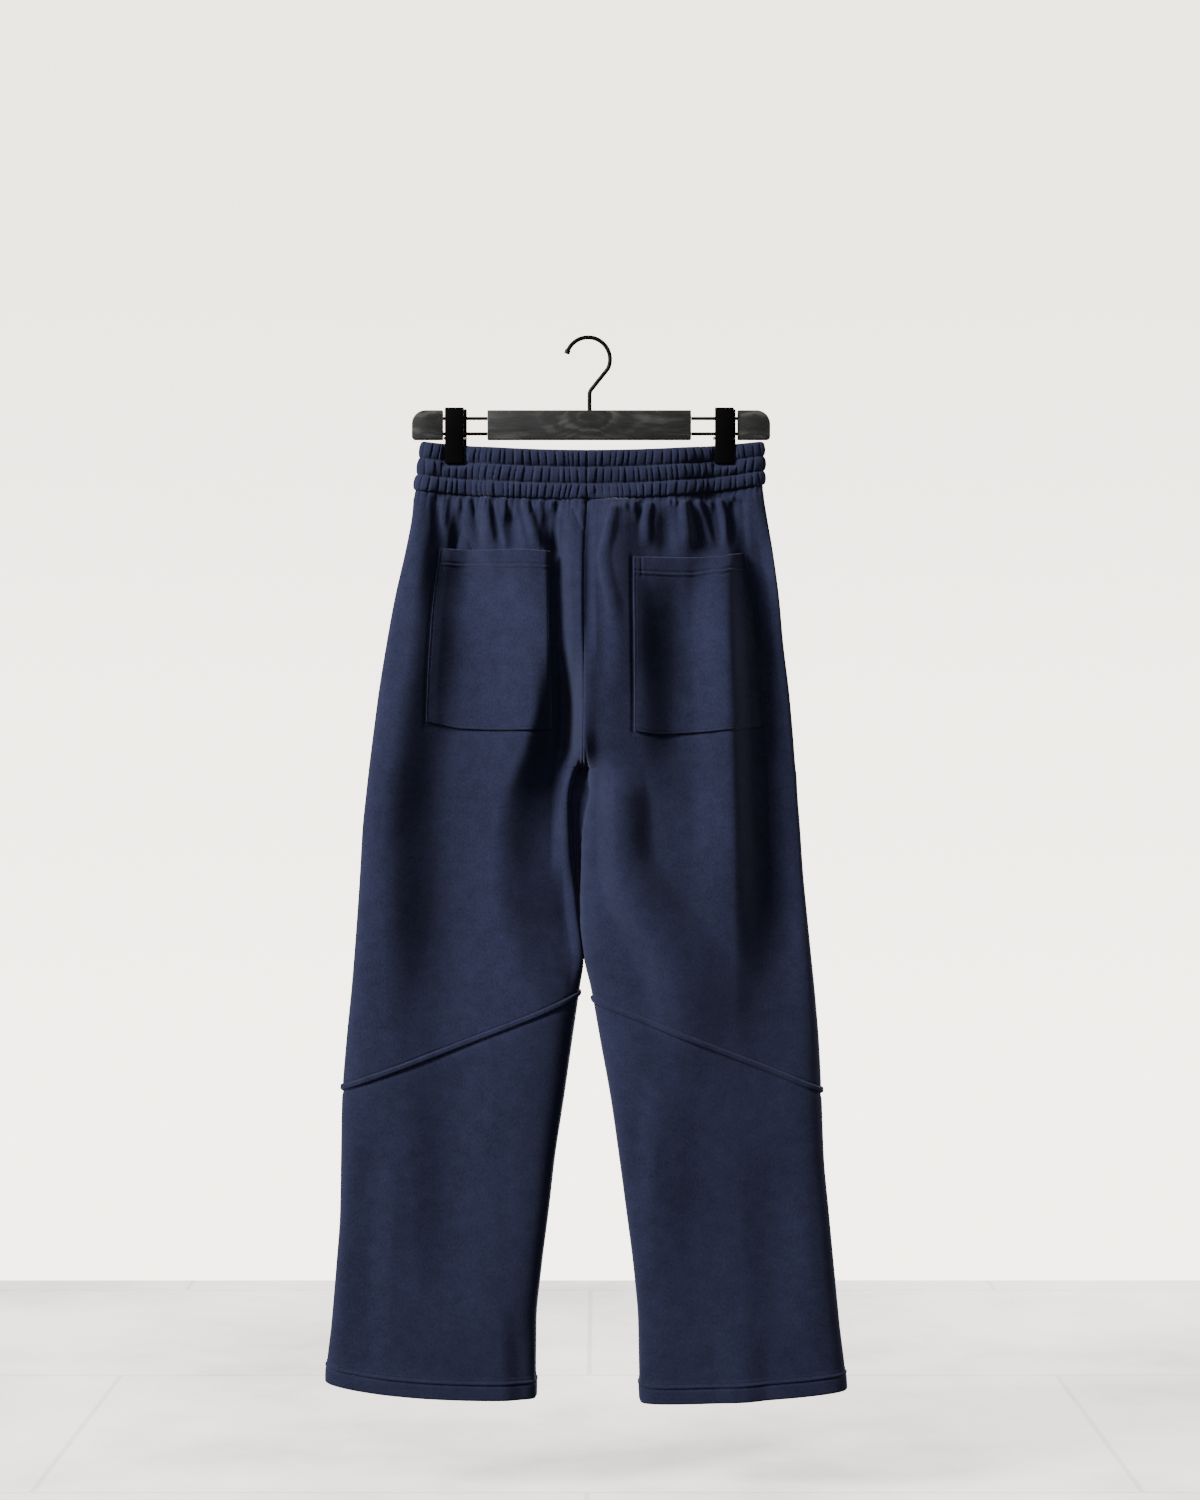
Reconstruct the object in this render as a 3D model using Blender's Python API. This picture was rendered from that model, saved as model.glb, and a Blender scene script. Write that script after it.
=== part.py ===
"""Wide-leg track pants of heavy fleece, hung by the waistband from a clip hanger.

The garment's back faces -Y, +Z is up, and the origin is the inner top of the hanger's hook.
Sizes are in millimetres until a mesh is made. A drop is a distance below the origin.
"""
import math
from collections import namedtuple

import bmesh
import bpy
from mathutils import Vector

MM = 0.001

# Cloth
WALL = 2.0              # heavy brushed fleece
BAND_WALL = 3.0         # fleece folded over the elastic
SEAM_GAP = 0.36         # between two panels at a seam
INSEAM_GAP = 0.72
WAIST_GAP = 0.7         # between the waistband and the panels
LAY_GAP = 0.35          # between a pocket and the panel that it is sewn on
CROTCH_DROP = 463.0
CROTCH_RISE = 38.0      # height of the round bend of the crotch seam
HIP_TO_LEG = (300.0, 530.0)    # drops over which one seat becomes two leg tubes
INNER_REACH = 0.05      # share of a half's width that follows the crotch bend
CHANNELS = 3
CHANNEL_BULGE = 2.0

# Waistband: drop of its top edge at the centre and at the two sides
BAND_TOP_CENTRE = 121.0
BAND_TOP_SIDE = 111.0
BAND_GRIP_DROP = 120.0  # a drop within the clips' grip

# Hanger
CLIP_X = {"left": -142.9, "right": 148.0}
GRIP_DEPTH = 3.6        # half thickness of the band between the jaws
GRIP_FLAT = 12.0        # half length of the band that the jaws press flat
GRIP_FADE = 46.0        # where the band is round again, from the middle of the clip
GRIP_DROPS = (165.0, 320.0)    # the pinch fades out over these drops
BAR_TOP = 77.5
BAR_FOOT = 109.0
BAR_DEPTH = 12.0
BAR_CENTRE_X = (-107.5, 112.3)
BAR_END_X = {"left": (-189.0, -155.5), "right": (197.6, 162.5)}
BAR_END_RADIUS = 15.0
CORNER_STEPS = 6
BAR_END_CUT = 2.0       # the small cut across an end piece's lower corner
BAR_BEVEL = 0.8
ROD_DROPS = {"upper": 86.0, "lower": 102.6}
ROD_RADIUS = 1.2
ROD_SIDES = 12
FIT_GAP = 0.3           # between hard pieces that touch
CARRIER = {"width": 14.0, "half_depth": 6.0, "top": 80.0, "foot": 105.5}
PIN_RADIUS = 1.5
PIN_DROP = 107.4
PIN_LENGTH = 24.0
JAW_WIDTH = 19.6
JAW_THICKNESS = 4.0
JAW_TOP = 75.0
JAW_BEND_DROPS = (106.0, 116.0)
JAW_FOOT = 135.3
JAW_GRIP_GAP = 0.4
JAW_BEVEL = 0.8
HOOK_WIRE = 1.65
HOOK_CENTRE = (1.1, 22.1)      # x and drop of the middle of the hook's round part
HOOK_ARC = (162.0, -25.0)      # degrees from the tip, over the top, to the straight
HOOK_ARC_STEPS = 16
HOOK_NECK = ((4.3, 55.0), (3.1, 57.5), (2.7, 60.0))    # the bend from the straight to the stem

# The outline from the back, and the fullness from the side. Above the crotch both inner edges
# are the centre seam, below it they are the two inseams.
Section = namedtuple("Section", "drop outer_l inner_l inner_r outer_r back front")
SECTIONS = (
    Section(111.0, -178.0, 0.0, 0.0, 189.0, 13, 10),
    Section(140.0, -182.0, 0.0, 0.0, 190.5, 14, 11),
    Section(164.0, -185.5, 0.0, 0.0, 190.0, 16, 12),
    Section(190.0, -188.5, -1.0, -1.0, 194.0, 21, 16),
    Section(230.0, -196.0, -3.0, -3.0, 201.0, 28, 21),
    Section(280.0, -207.0, -4.0, -4.0, 207.5, 34, 26),
    Section(330.0, -216.0, -3.5, -3.5, 212.0, 39, 30),
    Section(380.0, -224.0, -3.5, -3.5, 218.0, 42, 33),
    Section(430.0, -230.5, -4.0, -4.0, 222.5, 44, 35),
    Section(463.0, -234.5, -4.3, -4.3, 225.0, 45, 36),
    Section(470.0, -235.3, -6.2, -5.4, 226.0, 45, 36),
    Section(490.0, -237.5, -7.9, -7.1, 227.0, 45, 37),
    Section(530.0, -241.5, -11.4, -10.6, 230.0, 46, 38),
    Section(575.0, -244.0, -10.4, -9.6, 233.0, 47, 39),
    Section(620.0, -247.0, -8.9, -8.1, 237.3, 47, 39),
    Section(668.0, -250.6, -4.0, -3.0, 242.0, 46, 38),
    Section(700.0, -253.3, -7.6, 3.8, 245.2, 45, 37),
    Section(760.0, -259.2, -16.2, 14.6, 250.0, 44, 36),
    Section(820.0, -263.5, -24.8, 25.4, 252.7, 42, 35),
    Section(880.0, -264.6, -34.0, 34.0, 254.9, 40, 34),
    Section(940.0, -265.7, -41.0, 42.0, 260.3, 38, 33),
    Section(1000.0, -270.0, -48.6, 49.7, 266.0, 36, 31),
    Section(1060.0, -275.0, -54.5, 55.0, 271.8, 34, 30),
    Section(1120.0, -280.8, -55.0, 56.2, 278.6, 32, 29),
    Section(1150.0, -280.8, -55.0, 57.5, 280.0, 31, 28),
)
# How blunt a section's edges are: nearly a fold at the waist, rounder on seat and legs.
WAIST_BLUNTNESS = 3.0
LEG_BLUNTNESS = 2.7
OUTER_BLUNTNESS = {"left": 5.0, "right": 3.6}    # the outer half of the back
HEM_BLUNTNESS = 5.2     # the legs grow flatter towards the hems
HEM_BLUNTNESS_DROPS = (620.0, 960.0)

# The hollow behind the crotch: how wide a strip by each inseam lies back, nearly flat
Hollow = namedtuple("Hollow", "drop strip_l strip_r")
HOLLOWS = (
    Hollow(463.0, 0.0, 0.0),
    Hollow(470.0, 7.2, 7.3),
    Hollow(490.0, 10.0, 10.0),
    Hollow(530.0, 6.0, 6.0),
    Hollow(575.0, 3.5, 3.5),
    Hollow(620.0, 1.5, 1.5),
    Hollow(668.0, 0.0, 0.0),
)
HOLLOW_SLOPE = 0.035

# Lines across a half, by their drop at the inner edge and at the side seam, for each side.
# Bend is the power of the share of the width that the drop follows. Steps lead to the next line.
Line = namedtuple("Line", "name inner_l side_l bend_l inner_r side_r bend_r steps spread")
LINES = (
    Line("waist seam", 175.5, 164.5, 2.0, 175.5, 158.5, 2.0, 3, "even"),
    Line("pocket mouth", 237.5, 224.0, 0.6, 237.5, 228.5, 2.0, 7, "even"),
    Line("pocket foot", 425.0, 411.0, 0.7, 425.0, 417.5, 2.0, 4, "arc"),
    Line("crotch", 463.0, 470.0, 1.0, 463.0, 470.0, 1.0, 9, "slow"),
    Line("knee seam", 708.5, 809.0, 0.88, 715.0, 812.0, 1.0, 8, "even"),
    Line("hem", 1141.0, 1123.0, 3.0, 1145.0, 1131.0, 2.0, 0, "even"),
)

# Columns run from the centre (0) over the pocket's inner side (1) and outer side (2) to the
# side seam (3), so that a pocket is made of its panel's own points.
BACK_COLUMNS = (0, 0.07, 0.2, 0.4, 0.6, 0.8, 1, 1.2, 1.4, 1.6, 1.8, 2, 2.4, 2.7, 2.9, 2.98, 3)
FRONT_COLUMNS = (3, 2.98, 2.88, 2.6, 2.1, 1.6, 1.1, 0.75, 0.45, 0.2, 0.06, 0)
BAND_SHARES = (0, 0.12, 0.24, 0.36, 0.48, 0.6, 0.66, 0.71, 0.785, 0.86, 0.91, 0.955, 0.985, 1)
# The pocket's sides as shares of a half's width, at its mouth and at its foot
PocketSides = namedtuple("PocketSides", "inner_mouth inner_foot outer_mouth outer_foot")
POCKET_SIDES = {
    "left": PocketSides(0.190, 0.155, 0.812, 0.751),
    "right": PocketSides(0.253, 0.238, 0.846, 0.864),
}
POCKET_DROPS = (230.0, 421.0)

# Large folds: a path of (x, drop, half width), a lean that makes one flank steeper (above 0 the
# right one), a height out of the cloth, less than 0 for a trough, and the lengths of drop over
# which it grows and fades.
Fold = namedtuple("Fold", "side face path lean height grow fade")
FOLDS = (
    Fold("left", "back", ((0, 150, 35), (0, 240, 32), (2, 300, 29), (6, 350, 27), (8, 400, 26),
                          (8, 480, 26)), 0.0, 14, 30, 60),
    Fold("left", "back", ((-34, 195, 13), (-31, 260, 15), (-29, 330, 15), (-29, 430, 15),
                          (-32, 500, 15)), 0.0, -12, 40, 90),
    Fold("left", "back", ((-24, 320, 30), (-22, 390, 29), (-27, 444, 36), (-36, 498, 46),
                          (-38, 552, 52), (-32, 606, 54), (-24, 660, 50), (-16, 730, 44)),
         0.25, -26, 90, 110),
    Fold("left", "back", ((-20, 440, 15), (-21, 500, 17), (-22, 560, 18), (-23, 600, 18)),
         0.0, 10, 40, 60),
    Fold("left", "back", ((-148, 180, 38), (-147, 330, 60), (-158, 430, 64), (-164, 498, 68),
                          (-163, 606, 72), (-158, 700, 72), (-150, 860, 70)), -0.2, -21, 100, 240),
    Fold("left", "back", ((-152, 760, 48), (-150, 860, 46), (-144, 980, 46), (-138, 1080, 46)),
         -0.1, -6, 80, 150),
    Fold("left", "back", ((-224, 830, 26), (-234, 960, 28), (-240, 1140, 30)), 0.0, -4, 70, 80),
    Fold("left", "back", ((-74, 1020, 30), (-70, 1090, 28), (-66, 1150, 28)), -0.2, -4.5, 70, 5),
    Fold("right", "back", ((0, 150, 76), (0, 240, 70), (2, 300, 63), (6, 350, 58.7), (8, 400, 56.5),
                           (8, 480, 56.5)), -0.54, 14, 30, 60),
    Fold("right", "back", ((30, 160, 26), (27, 206, 27), (26, 240, 28), (31, 282, 30),
                           (36, 336, 32), (38, 400, 32)), -0.35, 8, 24, 90),
    Fold("right", "back", ((26, 440, 24), (31, 498, 30), (32, 552, 33), (50, 606, 48),
                           (82, 660, 56), (102, 714, 60), (114, 800, 62)), -0.3, 18, 60, 130),
    Fold("right", "back", ((96, 236, 42), (104, 330, 50), (106, 420, 52), (108, 540, 58),
                           (116, 640, 62)), -0.05, -17, 50, 280),
    Fold("right", "back", ((143, 210, 28), (149, 330, 30), (153, 430, 32), (155, 560, 36),
                           (158, 700, 44)), 0.25, 10, 50, 170),
    Fold("right", "back", ((184, 170, 28), (191, 330, 39), (197, 430, 43), (203, 560, 45),
                           (207, 660, 47), (212, 820, 50)), 0.1, -22, 80, 220),
    Fold("right", "back", ((84, 770, 38), (76, 860, 38), (72, 960, 36), (76, 1060, 34)),
         -0.3, 5, 70, 150),
    Fold("right", "back", ((196, 840, 40), (202, 960, 40), (206, 1100, 36)), 0.0, -5, 80, 110),
    Fold("right", "back", ((166, 1040, 32), (168, 1100, 30), (170, 1155, 30)), 0.1, 4, 70, 5),
    Fold("left", "front", ((-22, 165, 14), (-24, 300, 16), (-20, 440, 16)), 0.0, 7, 30, 40),
    Fold("left", "front", ((-120, 180, 22), (-110, 300, 26), (-100, 430, 26)), 0.1, -8, 50, 80),
    Fold("left", "front", ((-60, 430, 26), (-90, 560, 34), (-120, 700, 36)), 0.2, -10, 60, 90),
    Fold("left", "front", ((-185, 200, 24), (-196, 400, 34), (-200, 700, 36)), 0.2, -9, 70, 120),
    Fold("right", "front", ((24, 165, 13), (20, 280, 15), (22, 410, 15)), 0.0, 7, 30, 40),
    Fold("right", "front", ((130, 180, 22), (122, 310, 26), (110, 440, 26)), -0.1, -8, 50, 80),
    Fold("right", "front", ((52, 440, 26), (85, 570, 34), (120, 720, 36)), 0.2, -10, 60, 90),
    Fold("right", "front", ((172, 190, 22), (180, 360, 32), (188, 660, 34)), -0.2, -9, 70, 120),
)


def clear_scene():
    for item in list(bpy.data.objects):
        bpy.data.objects.remove(item, do_unlink=True)


def mix(start, end, share):
    return start + (end - start) * share


def ease(start, end, value):
    """Rise smoothly from 0 at start to 1 at end."""
    share = min(max((value - start) / (end - start), 0.0), 1.0)
    return share * share * (3.0 - 2.0 * share)


def curve_through(knots, values, at):
    """Read a smooth curve through the values that never overshoots them."""
    if at <= knots[0]:
        return values[0]
    if at >= knots[-1]:
        return values[-1]
    i = max(k for k in range(len(knots) - 1) if knots[k] <= at)
    steps = [b - a for a, b in zip(knots, knots[1:])]
    rises = [(b - a) / step for a, b, step in zip(values, values[1:], steps)]

    def slope(k):
        if k == 0 or k == len(rises):
            return rises[min(k, len(rises) - 1)]
        before, after = rises[k - 1], rises[k]
        return 2.0 * before * after / (before + after) if before * after > 0.0 else 0.0

    t = (at - knots[i]) / steps[i]
    lean_in = slope(i) * steps[i]
    lean_out = slope(i + 1) * steps[i]
    rise = values[i + 1] - values[i]
    return values[i] + t * (lean_in + t * (3 * rise - 2 * lean_in - lean_out
                                           + t * (lean_in + lean_out - 2 * rise)))


def section_value(column, drop):
    return curve_through([row.drop for row in SECTIONS],
                         [getattr(row, column) for row in SECTIONS], drop)


def edges_at(side, drop):
    """The inner and the outer x of one half."""
    letter = side[0]
    return section_value("inner_" + letter, drop), section_value("outer_" + letter, drop)


def round_edge(share, bluntness):
    return max(1.0 - abs(share) ** bluntness, 0.0) ** (1.0 / bluntness)


def leg_share(share, drop):
    """How far the seat has turned into a leg tube: 0 for the seat, 1 for the tube."""
    rise = min(max((CROTCH_DROP - drop) / CROTCH_RISE, 0.0), 1.0)
    bend = 1.0 - math.sqrt(1.0 - (1.0 - rise) ** 2)
    return mix(ease(*HIP_TO_LEG, drop), bend, math.exp(-(share / INNER_REACH) ** 2))


def leg_fullness(side, face, share, drop, width, bluntness, outer_bluntness):
    """The round of a leg tube; the back's starts past the strip that lies in the hollow."""
    if face == "front":
        return round_edge(2.0 * share - 1.0, bluntness)
    strip = curve_through([row.drop for row in HOLLOWS],
                          [getattr(row, "strip_" + side[0]) for row in HOLLOWS], drop)
    past = 2.0 * min(max((share * width - strip) / (width - strip), 0.0), 1.0) - 1.0
    full = round_edge(past, outer_bluntness if past > 0.0 else bluntness)
    if strip <= 0.1:
        return full
    return max(full, HOLLOW_SLOPE * min(share * width / strip, 1.0))


def pinch(x, side, drop):
    """1 where a clip presses the band flat, 0 away from it."""
    across = 1.0 - ease(GRIP_FLAT, GRIP_FADE, abs(x - CLIP_X[side]))
    return across * (1.0 - ease(*GRIP_DROPS, drop))


def fold_height(side, face, x, drop):
    total = 0.0
    for fold in FOLDS:
        if (fold.side, fold.face) != (side, face):
            continue
        drops = [point[1] for point in fold.path]
        path_x = curve_through(drops, [point[0] for point in fold.path], drop)
        width = curve_through(drops, [point[2] for point in fold.path], drop)
        flank = 1.0 + fold.lean if x < path_x else 1.0 - fold.lean
        away = min(abs(x - path_x) / (width * flank), 1.0)
        length = ease(drops[0], drops[0] + fold.grow, drop)
        length *= 1.0 - ease(drops[-1] - fold.fade, drops[-1], drop)
        total += fold.height * (1.0 - away * away) ** 2 * length
    return total


def cloth_point(side, face, share, drop):
    """A point of the outer face, share 0 at the centre or inseam and 1 at the side seam."""
    inner, outer = edges_at(side, drop)
    x = mix(inner, outer, share)
    bluntness = mix(WAIST_BLUNTNESS, LEG_BLUNTNESS, ease(160.0, 300.0, drop))
    outer_bluntness = mix(WAIST_BLUNTNESS, OUTER_BLUNTNESS[side], ease(160.0, 300.0, drop))
    seat = round_edge(share, outer_bluntness if face == "back" else bluntness)
    flatter = ease(*HEM_BLUNTNESS_DROPS, drop)
    bluntness = mix(bluntness, HEM_BLUNTNESS, flatter)
    outer_bluntness = mix(outer_bluntness, HEM_BLUNTNESS, flatter)
    leg = leg_fullness(side, face, share, drop, abs(outer - inner), bluntness, outer_bluntness)
    fullness = mix(seat, leg, leg_share(share, drop))
    depth = section_value(face, drop) * fullness
    depth = mix(depth, GRIP_DEPTH, pinch(x, side, drop))
    depth += fold_height(side, face, x, drop) * min(1.6 * fullness, 1.0)
    return Vector((x, -depth if face == "back" else depth, -drop))


def line_drop(line, side, share):
    letter = side[0]
    inner = getattr(line, "inner_" + letter)
    outer = getattr(line, "side_" + letter)
    return mix(inner, outer, share ** getattr(line, "bend_" + letter))


def level_list():
    """Every row of a half as (line, next line, way between them), with the named lines' rows."""
    levels = []
    named = {}
    for here, after in zip(LINES, LINES[1:]):
        named[here.name] = len(levels)
        for step in range(here.steps):
            way = step / here.steps
            if here.spread == "arc":
                way = math.sin(way * math.pi / 2)
            elif here.spread == "slow":
                way = way ** 1.5
            levels.append((here, after, way))
    named[LINES[-1].name] = len(levels)
    levels.append((LINES[-2], LINES[-1], 1.0))
    return levels, named


def level_drop(level, side, share):
    here, after, way = level
    return mix(line_drop(here, side, share), line_drop(after, side, share), way)


def column_share(side, column, level):
    """The share of the width at a column, which follows the pocket's sides."""
    sides = POCKET_SIDES[side]
    drop = level_drop(level, side, 0.5)
    way = min(max((drop - POCKET_DROPS[0]) / (POCKET_DROPS[1] - POCKET_DROPS[0]), 0.0), 1.0)
    stops = (0.0, mix(sides.inner_mouth, sides.inner_foot, way),
             mix(sides.outer_mouth, sides.outer_foot, way), 1.0)
    first = min(int(column), 2)
    return mix(stops[first], stops[first + 1], column - first)


def half_grid(side, levels):
    """Points of one half, row by row, from the centre back round the side to the front."""
    columns = [("back", c) for c in BACK_COLUMNS] + [("front", c) for c in FRONT_COLUMNS[1:]]
    grid = []
    for level in levels:
        row = []
        for face, column in columns:
            share = column_share(side, column, level)
            row.append(cloth_point(side, face, share, level_drop(level, side, share)))
        grid.append(row)
    return grid


def half_normals(grid, crotch_row, side):
    """Outward directions, shared by the panels that meet at a seam."""
    outward = 1.0 if side == "left" else -1.0
    last = len(grid[0]) - 1
    normals = []
    for k, row in enumerate(grid):
        above, below = grid[max(k - 1, 0)], grid[min(k + 1, len(grid) - 1)]
        line = []
        for i in range(last + 1):
            closed = k >= crotch_row and i in (0, last)
            before = row[last - 1] if closed else row[max(i - 1, 0)]
            beyond = row[1] if closed else row[min(i + 1, last)]
            normal = (beyond - before).cross(below[i] - above[i]) * outward
            if i in (0, last) and not closed:
                normal.x = 0.0
            if k == 0:
                normal.z = 0.0
            line.append(normal.normalized())
        normals.append(line)
    return normals


def part_at_seams(grid, crotch_row, side, side_column, face):
    """Move a panel's edge points half a seam's gap back from the seam."""
    half_gap = SEAM_GAP / 2
    towards_side = -half_gap if side == "left" else half_gap
    away = -half_gap if face == "back" else half_gap
    inner_column = 0 if face == "back" else len(grid[0]) - 1
    moved = [[point.copy() for point in row] for row in grid]
    for k, row in enumerate(moved):
        row[side_column].y += away
        if k <= crotch_row:
            row[inner_column].x += towards_side
        if k >= crotch_row:
            row[inner_column].y += away * INSEAM_GAP / SEAM_GAP
    return moved


def patch(grid, rows, columns):
    return [[grid[k][i] for i in range(columns[0], columns[1] + 1)]
            for k in range(rows[0], rows[1] + 1)]


def lifted(points, normals, height):
    return [[p + n * height for p, n in zip(row, directions)]
            for row, directions in zip(points, normals)]


def shell_object(name, outside, inside, material, ring=False):
    """One closed body between two sheets of points; a ring's last column joins its first."""
    rows, columns = len(outside), len(outside[0])
    mesh_data = bmesh.new()
    sheets = [[[mesh_data.verts.new(p * MM) for p in row] for row in sheet]
              for sheet in (outside, inside)]
    cells = columns if ring else columns - 1
    for sheet, turned in zip(sheets, (False, True)):
        for k in range(rows - 1):
            for i in range(cells):
                j = (i + 1) % columns
                corners = (sheet[k][i], sheet[k + 1][i], sheet[k + 1][j], sheet[k][j])
                for picks in ((0, 1, 2), (0, 2, 3)):
                    face = [corners[pick] for pick in picks]
                    mesh_data.faces.new(face[::-1] if turned else face)
    rims = [[(k, i) for i in range(columns)] for k in (0, rows - 1)]
    if ring:
        rims = [rim + rim[:1] for rim in rims]
    else:
        rims += [[(k, i) for k in range(rows)] for i in (0, columns - 1)]
    outer, inner = sheets
    for rim in rims:
        for (k, i), (m, j) in zip(rim, rim[1:]):
            mesh_data.faces.new((outer[k][i], outer[m][j], inner[m][j]))
            mesh_data.faces.new((outer[k][i], inner[m][j], inner[k][i]))
    bmesh.ops.recalc_face_normals(mesh_data, faces=mesh_data.faces[:])
    return mesh_object(name, mesh_data, material)


def mesh_object(name, mesh_data, material, smooth_angle=40.0):
    mesh = bpy.data.meshes.new(name)
    mesh_data.to_mesh(mesh)
    mesh_data.free()
    mesh.materials.append(material)
    mesh.shade_smooth()
    mesh.set_sharp_from_angle(angle=math.radians(smooth_angle))
    item = bpy.data.objects.new(name, mesh)
    bpy.context.collection.objects.link(item)
    return item


def plain_material(name, colour, roughness, metallic=0.0):
    material = bpy.data.materials.new(name)
    material.use_nodes = True
    shader = material.node_tree.nodes["Principled BSDF"]
    shader.inputs["Base Color"].default_value = (*colour, 1.0)
    shader.inputs["Roughness"].default_value = roughness
    shader.inputs["Metallic"].default_value = metallic
    return material


def make_half(side, fleece):
    """The two back panels, the front panel and the pocket of one half."""
    levels, named = level_list()
    grid = half_grid(side, levels)
    crotch = named["crotch"]
    normals = half_normals(grid, crotch, side)
    side_column = len(BACK_COLUMNS) - 1
    last_column = len(grid[0]) - 1
    knee, hem = named["knee seam"], named["hem"]
    panels = (
        ("back_upper_" + side, "back", (0, knee), (0, side_column)),
        ("back_lower_" + side, "back", (knee, hem), (0, side_column)),
        ("front_" + side, "front", (0, hem), (side_column, last_column)),
    )
    for name, face, rows, columns in panels:
        parted = patch(part_at_seams(grid, crotch, side, side_column, face), rows, columns)
        directions = patch(normals, rows, columns)
        for point in parted[0]:
            point.z -= (WAIST_GAP if rows[0] == 0 else SEAM_GAP) / 2
        if rows[1] == knee:
            for point in parted[-1]:
                point.z += SEAM_GAP / 2
        shell_object(name, parted, lifted(parted, directions, -WALL), fleece)
    mouth, foot = named["pocket mouth"], named["pocket foot"]
    columns = (BACK_COLUMNS.index(1), BACK_COLUMNS.index(2))
    under = patch(grid, (mouth, foot), columns)
    directions = patch(normals, (mouth, foot), columns)
    shell_object("pocket_" + side, lifted(under, directions, LAY_GAP + WALL),
                 lifted(under, directions, LAY_GAP), fleece)


def make_waistband(fleece):
    """One ring with three elastic channels that bulge between two rows of stitching."""
    quarters = [("left", "back", BAND_SHARES[:-1]), ("left", "front", BAND_SHARES[:0:-1]),
                ("right", "front", BAND_SHARES[:-1]), ("right", "back", BAND_SHARES[:0:-1])]
    ways = [step / (2 * CHANNELS) for step in range(2 * CHANNELS + 1)]
    base = []
    bulge = []
    for way in ways:
        row = []
        swell = []
        for side, face, shares in quarters:
            for share in shares:
                top = mix(BAND_TOP_CENTRE, BAND_TOP_SIDE, share ** 2)
                foot = line_drop(LINES[0], side, share) - WAIST_GAP / 2
                point = cloth_point(side, face, share, mix(top, foot, way))
                free = 1.0 - pinch(point.x, side, BAND_GRIP_DROP)
                row.append(point)
                swell.append(CHANNEL_BULGE * free * math.sin(way * CHANNELS * math.pi) ** 2)
        base.append(row)
        bulge.append(swell)
    normals = ring_normals(base)
    outside = [[p + n * s for p, n, s in zip(*rows)] for rows in zip(base, normals, bulge)]
    inside = lifted(outside, ring_normals(outside), -BAND_WALL)
    shell_object("waistband", outside, inside, fleece, ring=True)


def ring_normals(grid):
    """Outward directions round a ring, level on its two rims."""
    count = len(grid[0])
    rims = (0, len(grid) - 1)
    normals = []
    for k, row in enumerate(grid):
        above, below = grid[max(k - 1, 0)], grid[min(k + 1, rims[1])]
        line = []
        for i in range(count):
            normal = (row[(i + 1) % count] - row[i - 1]).cross(below[i] - above[i])
            if k in rims:
                normal.z = 0.0
            line.append(normal.normalized())
        normals.append(line)
    return normals


def extruded_object(name, outline, axis, span, material, bevel=0.0):
    """A prism: the outline's points lie in the plane across the axis, from span[0] to span[1]."""
    mesh_data = bmesh.new()

    def place(point, along):
        if axis == "y":
            return Vector((point[0], along, -point[1])) * MM
        return Vector((along, point[0], -point[1])) * MM

    ends = [[mesh_data.verts.new(place(point, along)) for point in outline] for along in span]
    for end in ends:
        mesh_data.faces.new(end)
    count = len(outline)
    for i in range(count):
        j = (i + 1) % count
        mesh_data.faces.new((ends[0][i], ends[0][j], ends[1][j], ends[1][i]))
    bmesh.ops.recalc_face_normals(mesh_data, faces=mesh_data.faces[:])
    item = mesh_object(name, mesh_data, material)
    if bevel:
        rounding = item.modifiers.new("Rounded edges", "BEVEL")
        rounding.width = bevel * MM
        rounding.segments = 1
        rounding.limit_method = "ANGLE"
        rounding.angle_limit = math.radians(50.0)
    return item


def cylinder_object(name, x_from, x_to, drop, radius, sides, material):
    """A round rod along X."""
    outline = [(radius * math.cos(turn), drop + radius * math.sin(turn))
               for turn in (math.tau * k / sides for k in range(sides))]
    return extruded_object(name, outline, "x", (x_from, x_to), material)


def make_bar(wood):
    rectangle = [(BAR_CENTRE_X[0], BAR_TOP), (BAR_CENTRE_X[1], BAR_TOP),
                 (BAR_CENTRE_X[1], BAR_FOOT), (BAR_CENTRE_X[0], BAR_FOOT)]
    half = BAR_DEPTH / 2
    extruded_object("bar_centre", rectangle, "y", (-half, half), wood, BAR_BEVEL)
    for side, (outer, inner) in BAR_END_X.items():
        towards = 1.0 if inner > outer else -1.0
        middle = outer + towards * BAR_END_RADIUS
        arc = [(middle - towards * BAR_END_RADIUS * math.cos(turn),
                BAR_TOP + BAR_END_RADIUS - BAR_END_RADIUS * math.sin(turn))
               for turn in (math.pi / 2 * k / CORNER_STEPS for k in range(CORNER_STEPS + 1))]
        outline = arc + [(inner, BAR_TOP), (inner, BAR_FOOT),
                         (outer + towards * BAR_END_CUT, BAR_FOOT), (outer, BAR_FOOT - BAR_END_CUT)]
        extruded_object("bar_end_" + side, outline, "y", (-half, half), wood, BAR_BEVEL)


def make_rods(steel):
    for side, centre_face in zip(("left", "right"), BAR_CENTRE_X):
        end_face = BAR_END_X[side][1]
        towards = 1.0 if centre_face > end_face else -1.0
        ends = (end_face + towards * FIT_GAP, centre_face - towards * FIT_GAP)
        for level, drop in ROD_DROPS.items():
            cylinder_object(f"rod_{level}_{side}", min(ends), max(ends), drop, ROD_RADIUS,
                            ROD_SIDES, steel)


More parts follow.
